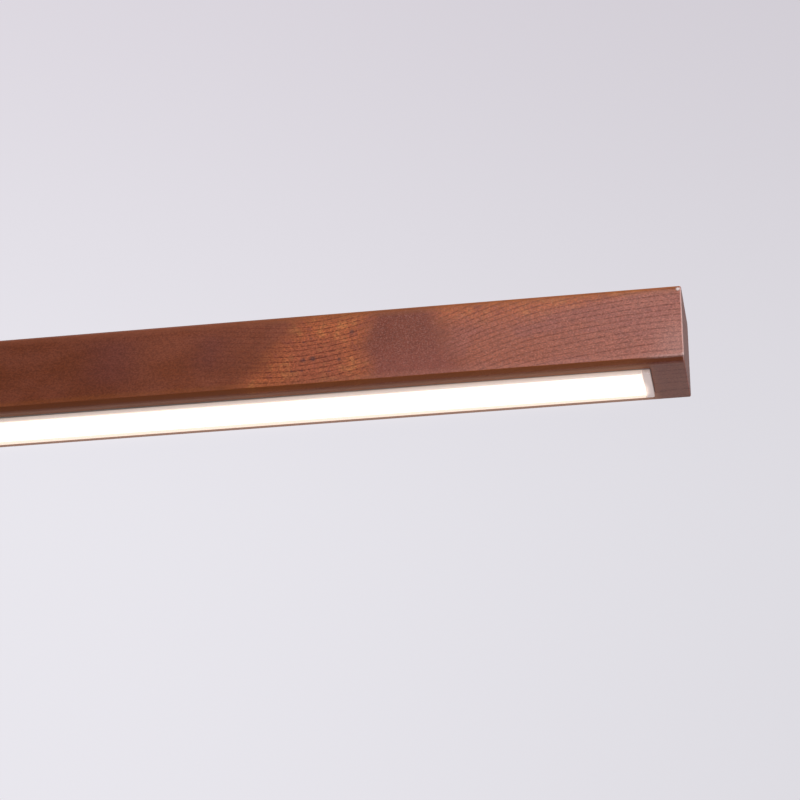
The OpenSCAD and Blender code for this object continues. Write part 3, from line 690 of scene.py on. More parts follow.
def rubbed_edges_and_highlights(place, facing, fibre, stain):
    x, _, z = axes_of(place)
    to_end, to_side, upward, edge, chamfer = facing
    from_middle = abs(x)
    # Rubbed-through orange on the long edges and the top band; on the upward chamfer it is also painted top
    # light.
    near_top = smooth(z, -7.0, -2.6, 0.0, 0.45) * smooth(to_side, 0.5, 0.9)
    long_edge = edge * fade(to_end, 0.05, 0.3) * smooth(upward, -0.75, -0.55)
    rubbed_and_top_light = most(chamfer * smooth(upward, 0.2, 0.5) * 0.65, long_edge * 0.25, near_top)
    stain = mix(rubbed_and_top_light, stain, mix(smooth(x, 300, 400), RUBBED_AND_PAINTED_LIGHT_LEFT, RUBBED_ORANGE_AND_PAINTED_LIGHT))
    # A painted highlight along the lower front edge, pinker to the right, paler near the ends and on the low
    # corners.
    near_end = smooth(from_middle, 574, 598) * smooth(z, -44.0, -14.0, 0.30, 0.0)
    low_edge_highlight = most(smooth(z, -46.5, -43.0, 0.28, 0.0), near_end) * smooth(to_side, 0.9, 0.99)
    low_corner_highlight = span(z, -48.0, 0.3, -46.2, 0.9) * smooth(from_middle, 566, 590, 0.0, 0.7)
    low_edge_highlight = most(low_edge_highlight, low_corner_highlight * fade(to_end, 0.1, 0.4)) * smooth(fibre, 0.30, 0.70, 0.7, 1.3)
    low_highlight_tone = mix(smooth(x, 300, 540), RUBBED_ORANGE_AND_PAINTED_LIGHT, PAINTED_LOW_HIGHLIGHT_PINK)
    stain = mix(low_edge_highlight, stain, mix(smooth(from_middle, 564, 590), low_highlight_tone, PAINTED_END_HIGHLIGHT))
    # A pale painted highlight on the end edges.
    end_edge_highlight = edge * smooth(to_end, 0.10, 0.35) * smooth(to_side, 0.2, 0.5, 0.15, 1.0)
    return mix(end_edge_highlight, stain, PAINTED_END_HIGHLIGHT)


def corner_glints(place):
    """Painted highlights: small pale spots on the front and rear corners, where the light catches them."""
    x, y, z = axes_of(place)
    outwards = vector_of(abs(x), abs(y), z)
    spots = []
    for corner, strength in ((GLINT_TOP, 1.0), (GLINT_LOW, 0.35)):
        away = vector_math("DISTANCE", outwards, corner, "Value")
        spots.append(smooth(away, 0.6, 1.7, strength, 0.0))
    return most(*spots)


print("edges: rubbed, worn and bare")

# %% [markdown]
# Now the finish is put together. The ends show end grain, which is less glossy; its grey-brown tone is end
# grain and painted sheen both, the grey that the end face reflects at a grazing angle. The year lines and the
# fibre also give the lacquer a faint relief.

# %% Stained wood
# End grain's tone, greyed as painted sheen.
END_GRAIN_AND_SHEEN = colour(0.246, 0.162, 0.146)
WOOD_RELIEF = 0.06 * MM


def stained_wood():
    material, tree, shader = new_finish("stained_wood", {"Specular IOR Level": 0.30})
    place = object_millimetres(tree)
    masks = figure_masks(place)
    line = year_lines(place)
    stain, fibre = pores_and_glint_specks(place, masks, stain_colour(place, masks, line))
    facing = facing_masks(tree)
    stain = underside_trough_light_and_chamfers(place, facing, stain)
    stain = rubbed_edges_and_highlights(place, facing, fibre, stain)
    stain = mix(corner_glints(place), stain, CORNER_GLINT)
    end = smooth(facing[0], 0.80, 0.97)
    stain = mix(end * 0.8, stain, END_GRAIN_AND_SHEEN)
    gloss = marks_of(place, 30.0, 0.40, 0.14)["Roughness"]
    feed(shader, {"Base Color": stain, "Roughness": gloss + end * 0.25})
    add_bump(shader, fibre * 0.35 - line * 0.5, WOOD_RELIEF, 0.5)
    return material


WOOD = stained_wood()
print("finish:", WOOD.name)

# %% [markdown]
# ## Metals and plastics
# The channel is matt anodised aluminium with faint drawing lines along it. The fittings on top are satin
# nickel with fine turning rings. A single function makes all the metals, because only their colour, gloss
# and line direction differ, and one makes all the plastics.

# %% Metals and plastics
ALONG_BEAM = (60.0, 0.25, 0.25)
AROUND_AXIS = (9.0, 9.0, 0.12)
LINE_DEPTH = 0.01 * MM
PLASTIC_GRAIN = 0.02 * MM


def metal(name, tint, roughness, line_size):
    material, tree, shader = new_finish(name, {"Metallic": 1.0})
    place = object_millimetres(tree)
    lines = lines_of(place, line_size)
    darker = colour(*(0.86 * part for part in tint))
    shade = mix(smooth(lines, 0.3, 0.7), darker, colour(*tint))
    feed(shader, {"Base Color": shade, "Roughness": marks_of(place, 14.0, roughness, 0.16)["Roughness"]})
    add_bump(shader, lines, LINE_DEPTH, 0.6)
    return material


def moulded(name, dark, pale, roughness):
    """A plastic between two shades, as (material, shader, place)."""
    material, tree, shader = new_finish(name)
    place = object_millimetres(tree)
    marks = marks_of(place, 9.0, roughness, 0.12)
    shade = mix(noise(place, 0.07, 3.0), dark, pale)
    feed(shader, {"Base Color": shade, "Roughness": marks["Roughness"]})
    add_bump(shader, marks["Height"], PLASTIC_GRAIN, 0.4)
    return material, shader, place


def plastic(name, tint, roughness):
    darker = colour(*(0.93 * part for part in tint))
    return moulded(name, darker, colour(*tint), roughness)[0]


ALUMINIUM = metal("silver_aluminium", (0.78, 0.76, 0.73), 0.5, ALONG_BEAM)
NICKEL = metal("satin_nickel", (0.70, 0.67, 0.62), 0.28, AROUND_AXIS)
NIPPLE_STEEL = metal("nipple_steel", (0.60, 0.60, 0.60), 0.22, AROUND_AXIS)
BRASS = metal("insert_brass", (0.62, 0.45, 0.20), 0.3, AROUND_AXIS)
SPRING_STEEL = metal("spring_steel", (0.50, 0.50, 0.51), 0.25, AROUND_AXIS)
ZINC = metal("zinc_steel", (0.62, 0.63, 0.65), 0.35, AROUND_AXIS)
WHITE_PLASTIC = plastic("white_plastic", (0.82, 0.82, 0.80), 0.45)
THERMAL_TAPE = plastic("thermal_tape", (0.75, 0.75, 0.73), 0.8)
RUBBER = plastic("black_rubber", (0.02, 0.02, 0.02), 0.65)
BROWN_LEAD = plastic("brown_lead", (0.12, 0.05, 0.025), 0.35)
BLUE_LEAD = plastic("blue_lead", (0.02, 0.07, 0.30), 0.35)
RED_LEAD = plastic("red_lead", (0.40, 0.02, 0.02), 0.35)
BLACK_LEAD = plastic("black_lead", (0.02, 0.02, 0.02), 0.35)
print("finishes: metals and plastics")

# %% [markdown]
# ## Opal acrylic, lit from behind
# The diffuser is the lit face of the lamp. Its underside is too bright for the camera, so it shows white,
# with a warm rim where the light fades: along its edges, and in the last millimetres before the end caps,
# where the row of LEDs stops. Its low side walls only pass on a little light. LEDs could light it for real
# through a translucent shader, but that takes many samples to come out clean. Here the plate gives light
# itself, by place and direction.

# %% Opal acrylic
LIT_STRENGTH = 2.0
LIT_WHITE = colour(1.0, 0.97, 0.92)
LIT_RIM = colour(0.36, 0.26, 0.19)
WALL_GLOW = colour(0.228, 0.184, 0.158)
RIM_MM = -50.0
END_BOW = 1.2
REAR_RIM, LEFT_RIM = -3.6, -0.8
diffuser_low, diffuser_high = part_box("diffuser")
PLATE_HALF_WIDTH = diffuser_high.y / MM
PLATE_HALF_LENGTH = diffuser_high.x / MM


def opal_acrylic():
    constants = {"Roughness": 0.35, "Emission Strength": LIT_STRENGTH}
    material, tree, shader = new_finish("opal_acrylic", constants)
    place = object_millimetres(tree)
    x, y, z = axes_of(place)
    bow = (y / PLATE_HALF_WIDTH) ** 2.0 * END_BOW
    near_end = fade(PLATE_HALF_LENGTH - abs(x) - bow, -1.4, 1.6)
    wider_rim = smooth(y, 4.0, 12.0, 0.0, REAR_RIM) + smooth(x, 300, 560, LEFT_RIM, 0.0)
    near_side = fade(PLATE_HALF_WIDTH - abs(y) + wider_rim, -0.2, 2.4)
    lit = mix(most(near_end, near_side), LIT_WHITE, LIT_RIM)
    # Painted shade: above the rim, a little higher at the right, the walls' light is withheld, so the shaded
    # gap under the wood shows as a dark line; the walls' light is also dimmer at the left.
    shade = z + smooth(x, 250, 520, 0.0, -0.3)
    outside_painted_shade = fade(shade, RIM_MM - 0.58, RIM_MM - 0.24) * smooth(x, 150, 540, 0.80, 0.94)
    _, _, upward = axes_of(wire(tree, "ShaderNodeNewGeometry", output="Normal"))
    glow = mix(fade(upward, -0.75, -0.25), shaded(WALL_GLOW, outside_painted_shade), lit)
    milky = mix(noise(place, 0.05), colour(0.82, 0.79, 0.77), colour(0.86, 0.83, 0.81))
    feed(shader, {"Emission Color": glow, "Base Color": milky})
    return material


OPAL = opal_acrylic()
print("finish:", OPAL.name)

# %% [markdown]
# The end caps are moulded from milky plastic. They are no lamp, but the lit plate's light on them is painted
# in as a glow, most of all beside it. That painted light fades along X, away from the plate's end.

# %% Milky plastic
MILKY_DARK = colour(0.76, 0.73, 0.73)
MILKY_PALE = colour(0.80, 0.77, 0.77)
# Painted light from the lit plate, near it and farther off.
CAP_PAINTED_LIGHT_NEAR = colour(0.72, 0.55, 0.45)
CAP_PAINTED_LIGHT_FAR = colour(0.285, 0.211, 0.180)


def milky_plastic():
    material, shader, place = moulded("milky_plastic", MILKY_DARK, MILKY_PALE, 0.5)
    x, y, z = axes_of(place)
    # Painted light from the lit plate, strongest beside its middle and fading along X.
    middle = span(y, -3.0, 6.0, 12.5, 3.5)
    reach = middle * 3.4 + 0.8
    near = fade((abs(x) - PLATE_HALF_LENGTH) / reach, -0.1, 1.0)
    glow = mix(near * middle, CAP_PAINTED_LIGHT_FAR, CAP_PAINTED_LIGHT_NEAR)
    # Painted shade: less of that painted light on the strip above the rim and towards the cap's front.
    outside_painted_shade = fade(z, RIM_MM - 0.5, RIM_MM) * smooth(y, -16, -4, 0.92, 1.0)
    feed(shader, {"Emission Color": shaded(glow, outside_painted_shade), "Emission Strength": 1.0})
    return material


CAP_PLASTIC = milky_plastic()
print("finish:", CAP_PLASTIC.name)

# %% [markdown]
# ## Boards and LEDs
# An LED is a white package with a yellow window of phosphor. They stand in a row at one pitch, so one
# material can find each window from its distance to the nearest LED, which is a remainder of X. The white
# boards carry tinned pads at the same places. The driver's board is green, with dark capacitors and a
# yellow-taped coil standing on it.

# %% Boards and LEDs
LED_PITCH_MM = 16.0
LED_WINDOW_MM = -36.7
BOARD_TOP_MM = -24.0
COIL_START_MM, COIL_END_MM = 83.5, 102.5


def from_led(x):
    """Distance along the row from the middle of the nearest LED, in millimetres."""
    return abs(calc("FLOORED_MODULO", x, LED_PITCH_MM) - LED_PITCH_MM / 2)


def led_package():
    material, tree, shader = new_finish("led_package", {"Roughness": 0.3, "Emission Strength": 0.8})
    x, y, z = axes_of(object_millimetres(tree))
    window = fade(from_led(x), 1.15, 1.3) * fade(abs(y), 0.85, 1.0)
    window = window * fade(z, LED_WINDOW_MM - 0.05, LED_WINDOW_MM + 0.05)
    body = mix(window, colour(0.85, 0.84, 0.80), colour(0.95, 0.70, 0.15))
    glow = mix(window, colour(0.0, 0.0, 0.0), colour(1.0, 0.80, 0.45))
    feed(shader, {"Base Color": body, "Emission Color": glow})
    return material


def white_board():
    material, tree, shader = new_finish("board_white")
    place = object_millimetres(tree)
    x, y, _ = axes_of(place)
    pad = span(from_led(x), 1.2, 0.05, 2.4, 0.05) * fade(abs(y), 0.9, 1.0)
    mask = mix(noise(place, 0.4, 3.0), colour(0.78, 0.79, 0.77), colour(0.84, 0.85, 0.83))
    feed(shader, {
        "Base Color": mix(pad, mask, colour(0.55, 0.55, 0.55)), "Metallic": pad,
        "Roughness": marks_of(place, 8.0, 0.4, 0.1)["Roughness"],
    })
    return material


def circuit_green():
    material, tree, shader = new_finish("circuit_green")
    place = object_millimetres(tree)
    x, _, z = axes_of(place)
    tall = smooth(z, BOARD_TOP_MM + 0.05, BOARD_TOP_MM + 0.1)
    coil = span(x, COIL_START_MM, 0.1, COIL_END_MM, 0.1)
    parts = mix(coil, colour(0.03, 0.035, 0.05), colour(0.62, 0.46, 0.08))
    tracks = smooth(grain(place, (5, 1.2, 1.2), 1.0), 0.50, 0.54)
    board = mix(tracks, colour(0.03, 0.14, 0.06), colour(0.05, 0.20, 0.09))
    gloss = marks_of(place, 6.0, 0.4, 0.15)["Roughness"]
    feed(shader, {"Base Color": mix(tall, board, parts), "Roughness": gloss})
    return material


LED_PACKAGE = led_package()
BOARD_WHITE = white_board()
CIRCUIT_GREEN = circuit_green()
print("finishes:", LED_PACKAGE.name, BOARD_WHITE.name, CIRCUIT_GREEN.name)

# %% [markdown]
# ## Shapes from outlines
# Most pieces of the lamp are planed, drawn, turned or moulded: one outline carried along a line or round an
# axis. The first helper softens an outline's corners with small arcs, because a real edge is never sharp
# and it is the soft edge that catches the light. A corner may bring its own radius as a third number.

# %% Soft outlines
ARC_SHARE = 0.45


def soft_outline(corners, radius, steps=3):
    """The closed outline through these corners, each replaced by an arc of up to this radius."""
    points = []
    count = len(corners)
    for i in range(count):
        corner = Vector(corners[i][:2])
        wanted = corners[i][2] if len(corners[i]) > 2 else radius
        if wanted == 0:
            points.append(corner)
            continue
        back = Vector(corners[i - 1][:2]) - corner
        ahead = Vector(corners[(i + 1) % count][:2]) - corner
        half = back.angle(ahead) / 2
        reach = min(wanted / math.tan(half), ARC_SHARE * back.length, ARC_SHARE * ahead.length)
        arc_radius = reach * math.tan(half)
        start = corner + back.normalized() * reach
        end = corner + ahead.normalized() * reach
        inwards = (back.normalized() + ahead.normalized()).normalized()
        middle = corner + inwards * (arc_radius / math.sin(half))
        for step in range(steps + 1):
            spoke = (start - middle).normalized().slerp((end - middle).normalized(), step / steps)
            points.append(middle + spoke * arc_radius)
    return points


def rectangle(low_a, high_a, low_b, high_b):
    return [(low_a, low_b), (high_a, low_b), (high_a, high_b), (low_a, high_b)]


def circle_outline(x, y, radius, steps=48):
    turns = [2 * math.pi * i / steps for i in range(steps)]
    return [Vector((x + radius * math.cos(turn), y + radius * math.sin(turn))) for turn in turns]


def inset(outline, depth):
    """The outline moved inwards by depth, point by point."""
    count = len(outline)
    area = sum(outline[i - 1].cross(outline[i]) for i in range(count))
    moved = []
    for i in range(count):
        ahead = (outline[(i + 1) % count] - outline[i - 1]).normalized()
        moved.append(outline[i] + Vector((-ahead.y, ahead.x)) * math.copysign(depth, area * depth))
    return moved


print("helpers: outlines")

# %% [markdown]
# ## Skins over outlines
# The second helper lays a skin over a row of rings and closes its ends. A prism carries its outline from
# one end to the other, with its end edges eased by a few smaller rings. A turned piece carries it round an
# upright axis.

# %% Skins
MERGE_DISTANCE = 1e-7


def skin(name, rings, finish, looped=False):
    """A closed mesh over rings of equally many points: open rows get end faces, looped ones join up."""
    build = bmesh.new()
    rows = [[build.verts.new(point) for point in ring] for ring in rings]
    for near, far in zip(rows, rows[1:] + rows[:1] if looped else rows[1:]):
        for i in range(len(near)):
            j = (i + 1) % len(near)
            build.faces.new((near[i], near[j], far[j], far[i]))
    if not looped:
        ends = [build.faces.new(rows[0]), build.faces.new(list(reversed(rows[-1])))]
        bmesh.ops.triangulate(build, faces=ends)
    bmesh.ops.remove_doubles(build, verts=build.verts, dist=MERGE_DISTANCE)
    bmesh.ops.recalc_face_normals(build, faces=build.faces)
    return finished_mesh(name, build, finish)


def ring_at(outline, along, distance):
    """The outline as points in space, square to an axis at this distance along it."""
    if along == "X":
        return [(distance, a, b) for a, b in outline]
    return [(a, b, distance) for a, b in outline]


def prism(name, outline, along, start, end, finish, ease=0.0, steps=3):
    """An outline carried along X or Z, whose two end edges are rounded by ease."""
    if ease == 0:
        return skin(name, [ring_at(outline, along, start), ring_at(outline, along, end)], finish)
    rings = []
    for step in range(steps + 1):
        turn = math.pi / 2 * step / steps
        shrunk = inset(outline, ease * (1 - math.sin(turn)))
        rings.append((shrunk, ease * (1 - math.cos(turn))))
    near = [ring_at(shrunk, along, start + depth) for shrunk, depth in rings]
    far = [ring_at(shrunk, along, end - depth) for shrunk, depth in reversed(rings)]
    return skin(name, near + far, finish)


def turned(name, corners, centre_x, finish, ease=0.25, sides=72):
    """Corners of radius and height, in millimetres, turned about an upright axis at centre_x."""
    outline = soft_outline(corners, ease)
    rings = []
    for i in range(sides):
        turn = 2 * math.pi * i / sides
        ring = [(centre_x + r * MM * math.cos(turn), r * MM * math.sin(turn), z * MM) for r, z in outline]
        rings.append(ring)
    return skin(name, rings, finish, looped=True)


def rod(name, start, end, radius, finish, sides=32):
    """A round bar between two points."""
    turn = (end - start).to_track_quat("Z", "Y")
    circle = [turn @ Vector((x, y, 0)) for x, y in circle_outline(0, 0, radius, sides)]
    return skin(name, [[place + point for point in circle] for place in (start, end)], finish)


print("helpers: skins")

# %% [markdown]
# ## Cutting, shading and seating
# A groove or a hole is cut with a Boolean modifier. Its result is taken as a plain mesh straight away, so
# that no modifier is left on the piece. Afterwards a Weighted Normal modifier keeps the large faces flat in
# the light, while the soft edges stay round. Seating a piece ties it to its CAD body and hides the CAD node
# that it stands for.

# %% Cutting, shading and seating
SHARP_ABOVE = math.radians(40)


def as_plain_mesh(piece):
    """The piece with its modifiers' result as its own mesh, and no modifier left."""
    ready = piece.evaluated_get(bpy.context.evaluated_depsgraph_get())
    mesh = bpy.data.meshes.new_from_object(ready)
    piece.modifiers.clear()
    piece.data = mesh
    return piece


def combine(piece, tools, operation="DIFFERENCE"):
    for tool in tools:
        step = piece.modifiers.new("cut", "BOOLEAN")
        step.operation, step.object, step.solver = operation, tool, "EXACT"
    as_plain_mesh(piece)
    for tool in tools:
        bpy.data.objects.remove(tool)
    return piece


def even_shading(piece):
    piece.data.shade_smooth()
    piece.data.set_sharp_from_angle(angle=SHARP_ABOVE)
    weighted = piece.modifiers.new("even shading", "WEIGHTED_NORMAL")
    weighted.keep_sharp = True
    return as_plain_mesh(piece)


def seat(piece, body, slot, *nodes):
    even_shading(piece)
    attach(piece, body)
    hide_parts(*nodes)
    print(f"piece: {piece.name}, {len(piece.data.polygons)} faces")
    return piece


print("helpers: cutting, shading and seating")

# %% [markdown]
# ## The wooden beam
# The beam is planed to a long block. Its long edges are chamfered, the lower rear one only a little, and
# the chamfers' own edges are sanded soft, while the sawn ends are only eased. A Bevel modifier could do
# this, but one outline with soft corners shows each size by name. The groove for the channel, the driver's
# pocket above it and the holes are cut out of the block.

# %% Beam block
beam_low, beam_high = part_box("wood_beam")
CHAMFER = 2.5 * MM
REAR_CHAMFER = 0.9 * MM
LOW_CHAMFER = 3.9 * MM
CHAMFER_EASE = 1.0 * MM
CHAMFER_STEPS = 4
LOW_EASE = 5.0 * MM
FRONT_EASE = 0.7 * MM
END_EASE = 1.0 * MM


def chamfered_section():
    """The beam's section in Y and Z, as a rectangle with chamfered and softened corners."""
    low_y, high_y, low_z, high_z = beam_low.y, beam_high.y, beam_low.z, beam_high.z
    corners = [
        (low_y + LOW_CHAMFER, low_z, LOW_EASE),
        (high_y - REAR_CHAMFER, low_z),
        (high_y, low_z + REAR_CHAMFER),
        (high_y, high_z - CHAMFER),
        (high_y - CHAMFER, high_z),
        (low_y + CHAMFER, high_z),
        (low_y, high_z - CHAMFER),
        (low_y, low_z + CHAMFER, FRONT_EASE),
    ]
    return soft_outline(corners, CHAMFER_EASE, CHAMFER_STEPS)


beam = prism("beam", chamfered_section(), "X", beam_low.x, beam_high.x, WOOD, END_EASE)
print("beam block:", len(beam.data.polygons), "faces")

# %% [markdown]
# The cutters reach a little past the faces that they open. The groove's mouth is eased, as a sanded edge
# is, by a wider ring at its low end. The screw holes take their places from the screws' list, which the
# screws use again.

# %% Groove, pocket and holes
channel_low, channel_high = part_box("led_channel")
cap_low, cap_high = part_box("end_cap_right")
insert_low, insert_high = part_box("insert_right")
GROOVE_GAP = 0.8 * MM
END_GAP = 0.4 * MM
CAP_SHORTER = 0.2 * MM
GROOVE_CORNER = 1.6 * MM
MOUTH_EASE = 0.2 * MM
POCKET_HALF = 150 * MM
POCKET_HALF_WIDTH = 12 * MM
POCKET_CORNER = 2 * MM
POCKET_TOP = -15 * MM
CORNER_STEPS = 6
INLET_HOLE = 5.1 * MM
HOLE_SLACK = 0.1 * MM
HOLE_SIDES = 20
PAST = 1 * MM
WEB = 1.6 * MM
SCREW_RADIUS = 1.5 * MM
CHANNEL_SCREW_LENGTH = 18 * MM
CHANNEL_SCREW_X, CHANNEL_SCREW_Y = (220 * MM, 504.1 * MM), 9.2 * MM
POCKET_SCREW_LENGTH = 13 * MM
POCKET_SCREW_X, POCKET_SCREW_Z = (28 * MM, 140 * MM, -35 * MM), -18 * MM
web_under = channel_high.z - WEB
grip_x = (insert_low.x + insert_high.x) / 2
cap_outer = cap_high.x - CAP_SHORTER
CHANNEL_SCREWS = [
    Vector((side_x * x, side_y * CHANNEL_SCREW_Y, web_under))
    for x in CHANNEL_SCREW_X for side_x in (-1, 1) for side_y in (-1, 1)
]
POCKET_SCREWS = [Vector((x, 0, POCKET_SCREW_Z)) for x in POCKET_SCREW_X]


def upright(name, outline, low, high):
    """A cutter with this outline between two heights."""
    return prism(name, outline, "Z", low, high, WOOD)


def screw_cutters(places, length):
    cutters = []
    for place in places:
        hole = circle_outline(place.x, place.y, SCREW_RADIUS + HOLE_SLACK, HOLE_SIDES)
        cutters.append(upright("screw_hole", hole, place.z - PAST, place.z + length))
    return cutters


def beam_cutters():
    groove_x, groove_y = cap_outer + END_GAP, channel_high.y + GROOVE_GAP
    groove = rectangle(-groove_x, groove_x, -groove_y, groove_y)
    groove = soft_outline(groove, GROOVE_CORNER, CORNER_STEPS)
    mouth = inset(groove, -MOUTH_EASE)
    groove_rings = [
        ring_at(mouth, "Z", beam_low.z - PAST),
        ring_at(mouth, "Z", beam_low.z),
        ring_at(groove, "Z", beam_low.z + MOUTH_EASE),
        ring_at(groove, "Z", channel_high.z),
    ]
    pocket = rectangle(-POCKET_HALF, POCKET_HALF, -POCKET_HALF_WIDTH, POCKET_HALF_WIDTH)
    pocket = soft_outline(pocket, POCKET_CORNER, CORNER_STEPS)
    cutters = [
        skin("groove", groove_rings, WOOD),
        upright("pocket", pocket, channel_high.z - PAST, POCKET_TOP),
        upright("inlet_hole", circle_outline(0, 0, INLET_HOLE), POCKET_TOP - PAST, PAST),
    ]
    insert_radius = (insert_high.y - insert_low.y) / 2 + HOLE_SLACK
    for side, _ in SIDES:
        hole = circle_outline(side * grip_x, 0, insert_radius)
        cutters.append(upright("insert_hole", hole, insert_low.z - HOLE_SLACK, PAST))
    cutters += screw_cutters(CHANNEL_SCREWS, CHANNEL_SCREW_LENGTH + HOLE_SLACK)
    return cutters + screw_cutters(POCKET_SCREWS, POCKET_SCREW_LENGTH + HOLE_SLACK)


combine(beam, beam_cutters())
seat(beam, "lamp", "stained_wood", "wood_beam")

# %% [markdown]
# ## Channel and diffuser
# The channel is a drawn aluminium profile, so its section is one outline carried along the beam, with a
# ledge in each wall. The diffuser is drawn from opal acrylic in the same way: a trough whose rim lies under
# the channel's walls, with two legs that snap in behind the ledges.

# %% Channel and diffuser
CHANNEL_WALL = 1.4 * MM
LEDGE_RISE = 2.0 * MM
LEDGE_HEIGHT = 1.2 * MM
LEDGE_DEPTH = 1.0 * MM
FACE_SLACK = 0.2 * MM
PLATE = 1.8 * MM
LEG = 1.2 * MM
DRAWN_EDGE = 0.25 * MM
TROUGH_EDGE = 0.4 * MM
GROMMET_X, GROMMET_Y = 145, 8.75
GROMMET_HOLE = 2.65 * MM
channel_inner = channel_high.y - CHANNEL_WALL
leg_outer = channel_inner - LEDGE_DEPTH - FACE_SLACK
leg_inner = leg_outer - LEG
plate_top = diffuser_low.z + PLATE


def mirrored(half):
    """A closed outline from its right-hand half."""
    return half + [(-y, z) for y, z in reversed(half)]


def channel_outline():
    wall, rim, top = channel_high.y, channel_low.z, channel_high.z
    ledge = rim + LEDGE_RISE
    return mirrored([
        (channel_inner, web_under),
        (channel_inner, ledge + LEDGE_HEIGHT),
        (channel_inner - LEDGE_DEPTH, ledge + LEDGE_HEIGHT),
        (channel_inner - LEDGE_DEPTH, ledge),
        (channel_inner, ledge),
        (channel_inner, rim),
        (wall, rim),
        (wall, top),
    ])


def diffuser_outline():
    shoulder = channel_low.z - FACE_SLACK
    hook = channel_low.z + LEDGE_RISE + LEDGE_HEIGHT + FACE_SLACK
    return mirrored([
        (diffuser_high.y, diffuser_low.z),
        (diffuser_high.y, shoulder),
        (leg_outer, shoulder),
        (leg_outer, hook),
        (leg_outer + LEDGE_DEPTH, hook),
        (leg_outer, diffuser_high.z),
        (leg_inner, diffuser_high.z),
        (leg_inner, plate_top),
    ])


channel_section = soft_outline(channel_outline(), DRAWN_EDGE)
channel = prism("channel", channel_section, "X", channel_low.x, channel_high.x, ALUMINIUM)
grommet_hole = circle_outline(GROMMET_X * MM, GROMMET_Y * MM, GROMMET_HOLE)
channel_holes = screw_cutters(CHANNEL_SCREWS, WEB + PAST)
channel_holes.append(upright("grommet_hole", grommet_hole, web_under - PAST, channel_high.z + PAST))
combine(channel, channel_holes)
seat(channel, "lamp", "silver_aluminium", "led_channel")
trough_section = soft_outline(diffuser_outline(), TROUGH_EDGE)
diffuser = prism("opal_diffuser", trough_section, "X", diffuser_low.x, diffuser_high.x, OPAL)
seat(diffuser, "lamp", "opal_acrylic", "diffuser")

# %% [markdown]
# ## End caps
# An end cap is a small block with rounded upright edges, and its hollow plug is a box with a box taken out
# of it. The two are joined with a Boolean union, so that the moulding is one closed skin. The left cap is
# the right one mirrored, and its faces are turned round again, because a mirror turns them inside out.

# %% End caps
CAP_THICKNESS = 5.0 * MM
CAP_CORNER = 0.9 * MM
CAP_STEPS = 5
CAP_INNER_CORNER = 0.15 * MM
CAP_EASE = 0.35 * MM
PLUG_WALL = 1.6 * MM
PLUG_CORNER = 0.4 * MM


def end_cap(side, end):
    inner = cap_high.x - CAP_THICKNESS
    plan = soft_outline([
        (inner, cap_low.y, CAP_INNER_CORNER),
        (cap_outer, cap_low.y, CAP_CORNER),
        (cap_outer, cap_high.y, CAP_CORNER),
        (inner, cap_high.y, CAP_INNER_CORNER),
    ], CAP_CORNER, CAP_STEPS)
    cap = prism("cap_" + end, plan, "Z", cap_low.z, cap_high.z, CAP_PLASTIC, CAP_EASE)
    half = leg_inner - FACE_SLACK
    low, high = plate_top + FACE_SLACK, web_under - FACE_SLACK
    outside = rectangle(-half, half, low, high)
    inside = rectangle(PLUG_WALL - half, half - PLUG_WALL, low + PLUG_WALL, high - PLUG_WALL)
    outside, inside = soft_outline(outside, PLUG_CORNER), soft_outline(inside, PLUG_CORNER)
    combine(cap, [prism("plug", outside, "X", cap_low.x, inner + PAST, CAP_PLASTIC)], "UNION")
    combine(cap, [prism("core", inside, "X", cap_low.x - PAST, inner, CAP_PLASTIC)])
    if side < 0:
        cap.data.transform(Matrix.Scale(-1, 4, Vector((1, 0, 0))))
        cap.data.flip_normals()
    return cap


for side, end in reversed(SIDES):
    seat(end_cap(side, end), "lamp", "milky_plastic", "end_cap_" + end)

# %% [markdown]
# ## Turned fittings on top
# Each wire gripper stands on a washer. Its base has a stud below, two flats for a spanner and a slanted
# hole that lets the wire's end out. The barrel screws onto the base, and the release nipple slides in it.
# The cord inlet stands in the middle. All are turned parts, so each is one outline of radius and height, in
# millimetres.

# %% Turned outlines
WASHER = [(3.2, 0), (9, 0), (9, 1.2), (3.2, 1.2)]
BASE = [
    (0, -11, 0), (2.5, -11), (3, -10.4), (3, 1.2), (6.5, 1.2), (6.5, 9.2), (4.8, 9.2), (4.8, 12.2),
    (1.3, 12.2), (1.3, 4.8), (0, 4.8, 0),
]
BARREL = [
    (4.9, 9.2), (6.5, 9.2), (6.5, 26), (5.5, 27), (2.58, 27), (2.58, 23), (2.98, 23), (3.91, 16.4),
    (3.91, 12.3), (4.9, 12.3),
]
NIPPLE = [
    (1.6, 18.6), (2.7, 18.6), (2.7, 22.7), (2.5, 22.7), (2.5, 30.1), (3.5, 30.1), (3.5, 31.4), (3.0, 31.9),
    (1.7, 31.9), (0.9, 31.1), (0.9, 22.3), (1.6, 22.3),
]
INLET = [
    (3.75, -20), (5, -20), (5, 0), (9, 0), (9, 1), (8, 2), (5.65, 2), (5.65, 7), (4.65, 8), (4.25, 8),
    (3.25, 7), (3.25, 0), (3.75, 0),
]
FLAT_REACH, FLAT_START, FLAT_TOP = 7.5 * MM, 5.5 * MM, 6.2 * MM
FLAT_HALF_LENGTH, FLAT_CORNER = 8 * MM, 0.2 * MM
EXIT_RADIUS, EXIT_HEIGHT = 1.3 * MM, 6.1 * MM
EXIT_SLOPE = math.radians(20)
EXIT_LENGTH = 13 * MM
WINDOW_RADIUS, WINDOW_HEIGHT, WINDOW_REACH = 1.35 * MM, 20.65 * MM, 3.7 * MM
BALL_COUNT = 3
FITTING_EASE, NIPPLE_EASE, INLET_EASE = 0.3, 0.2, 0.4
NIPPLE_SIDES, WINDOW_SIDES = 64, 24


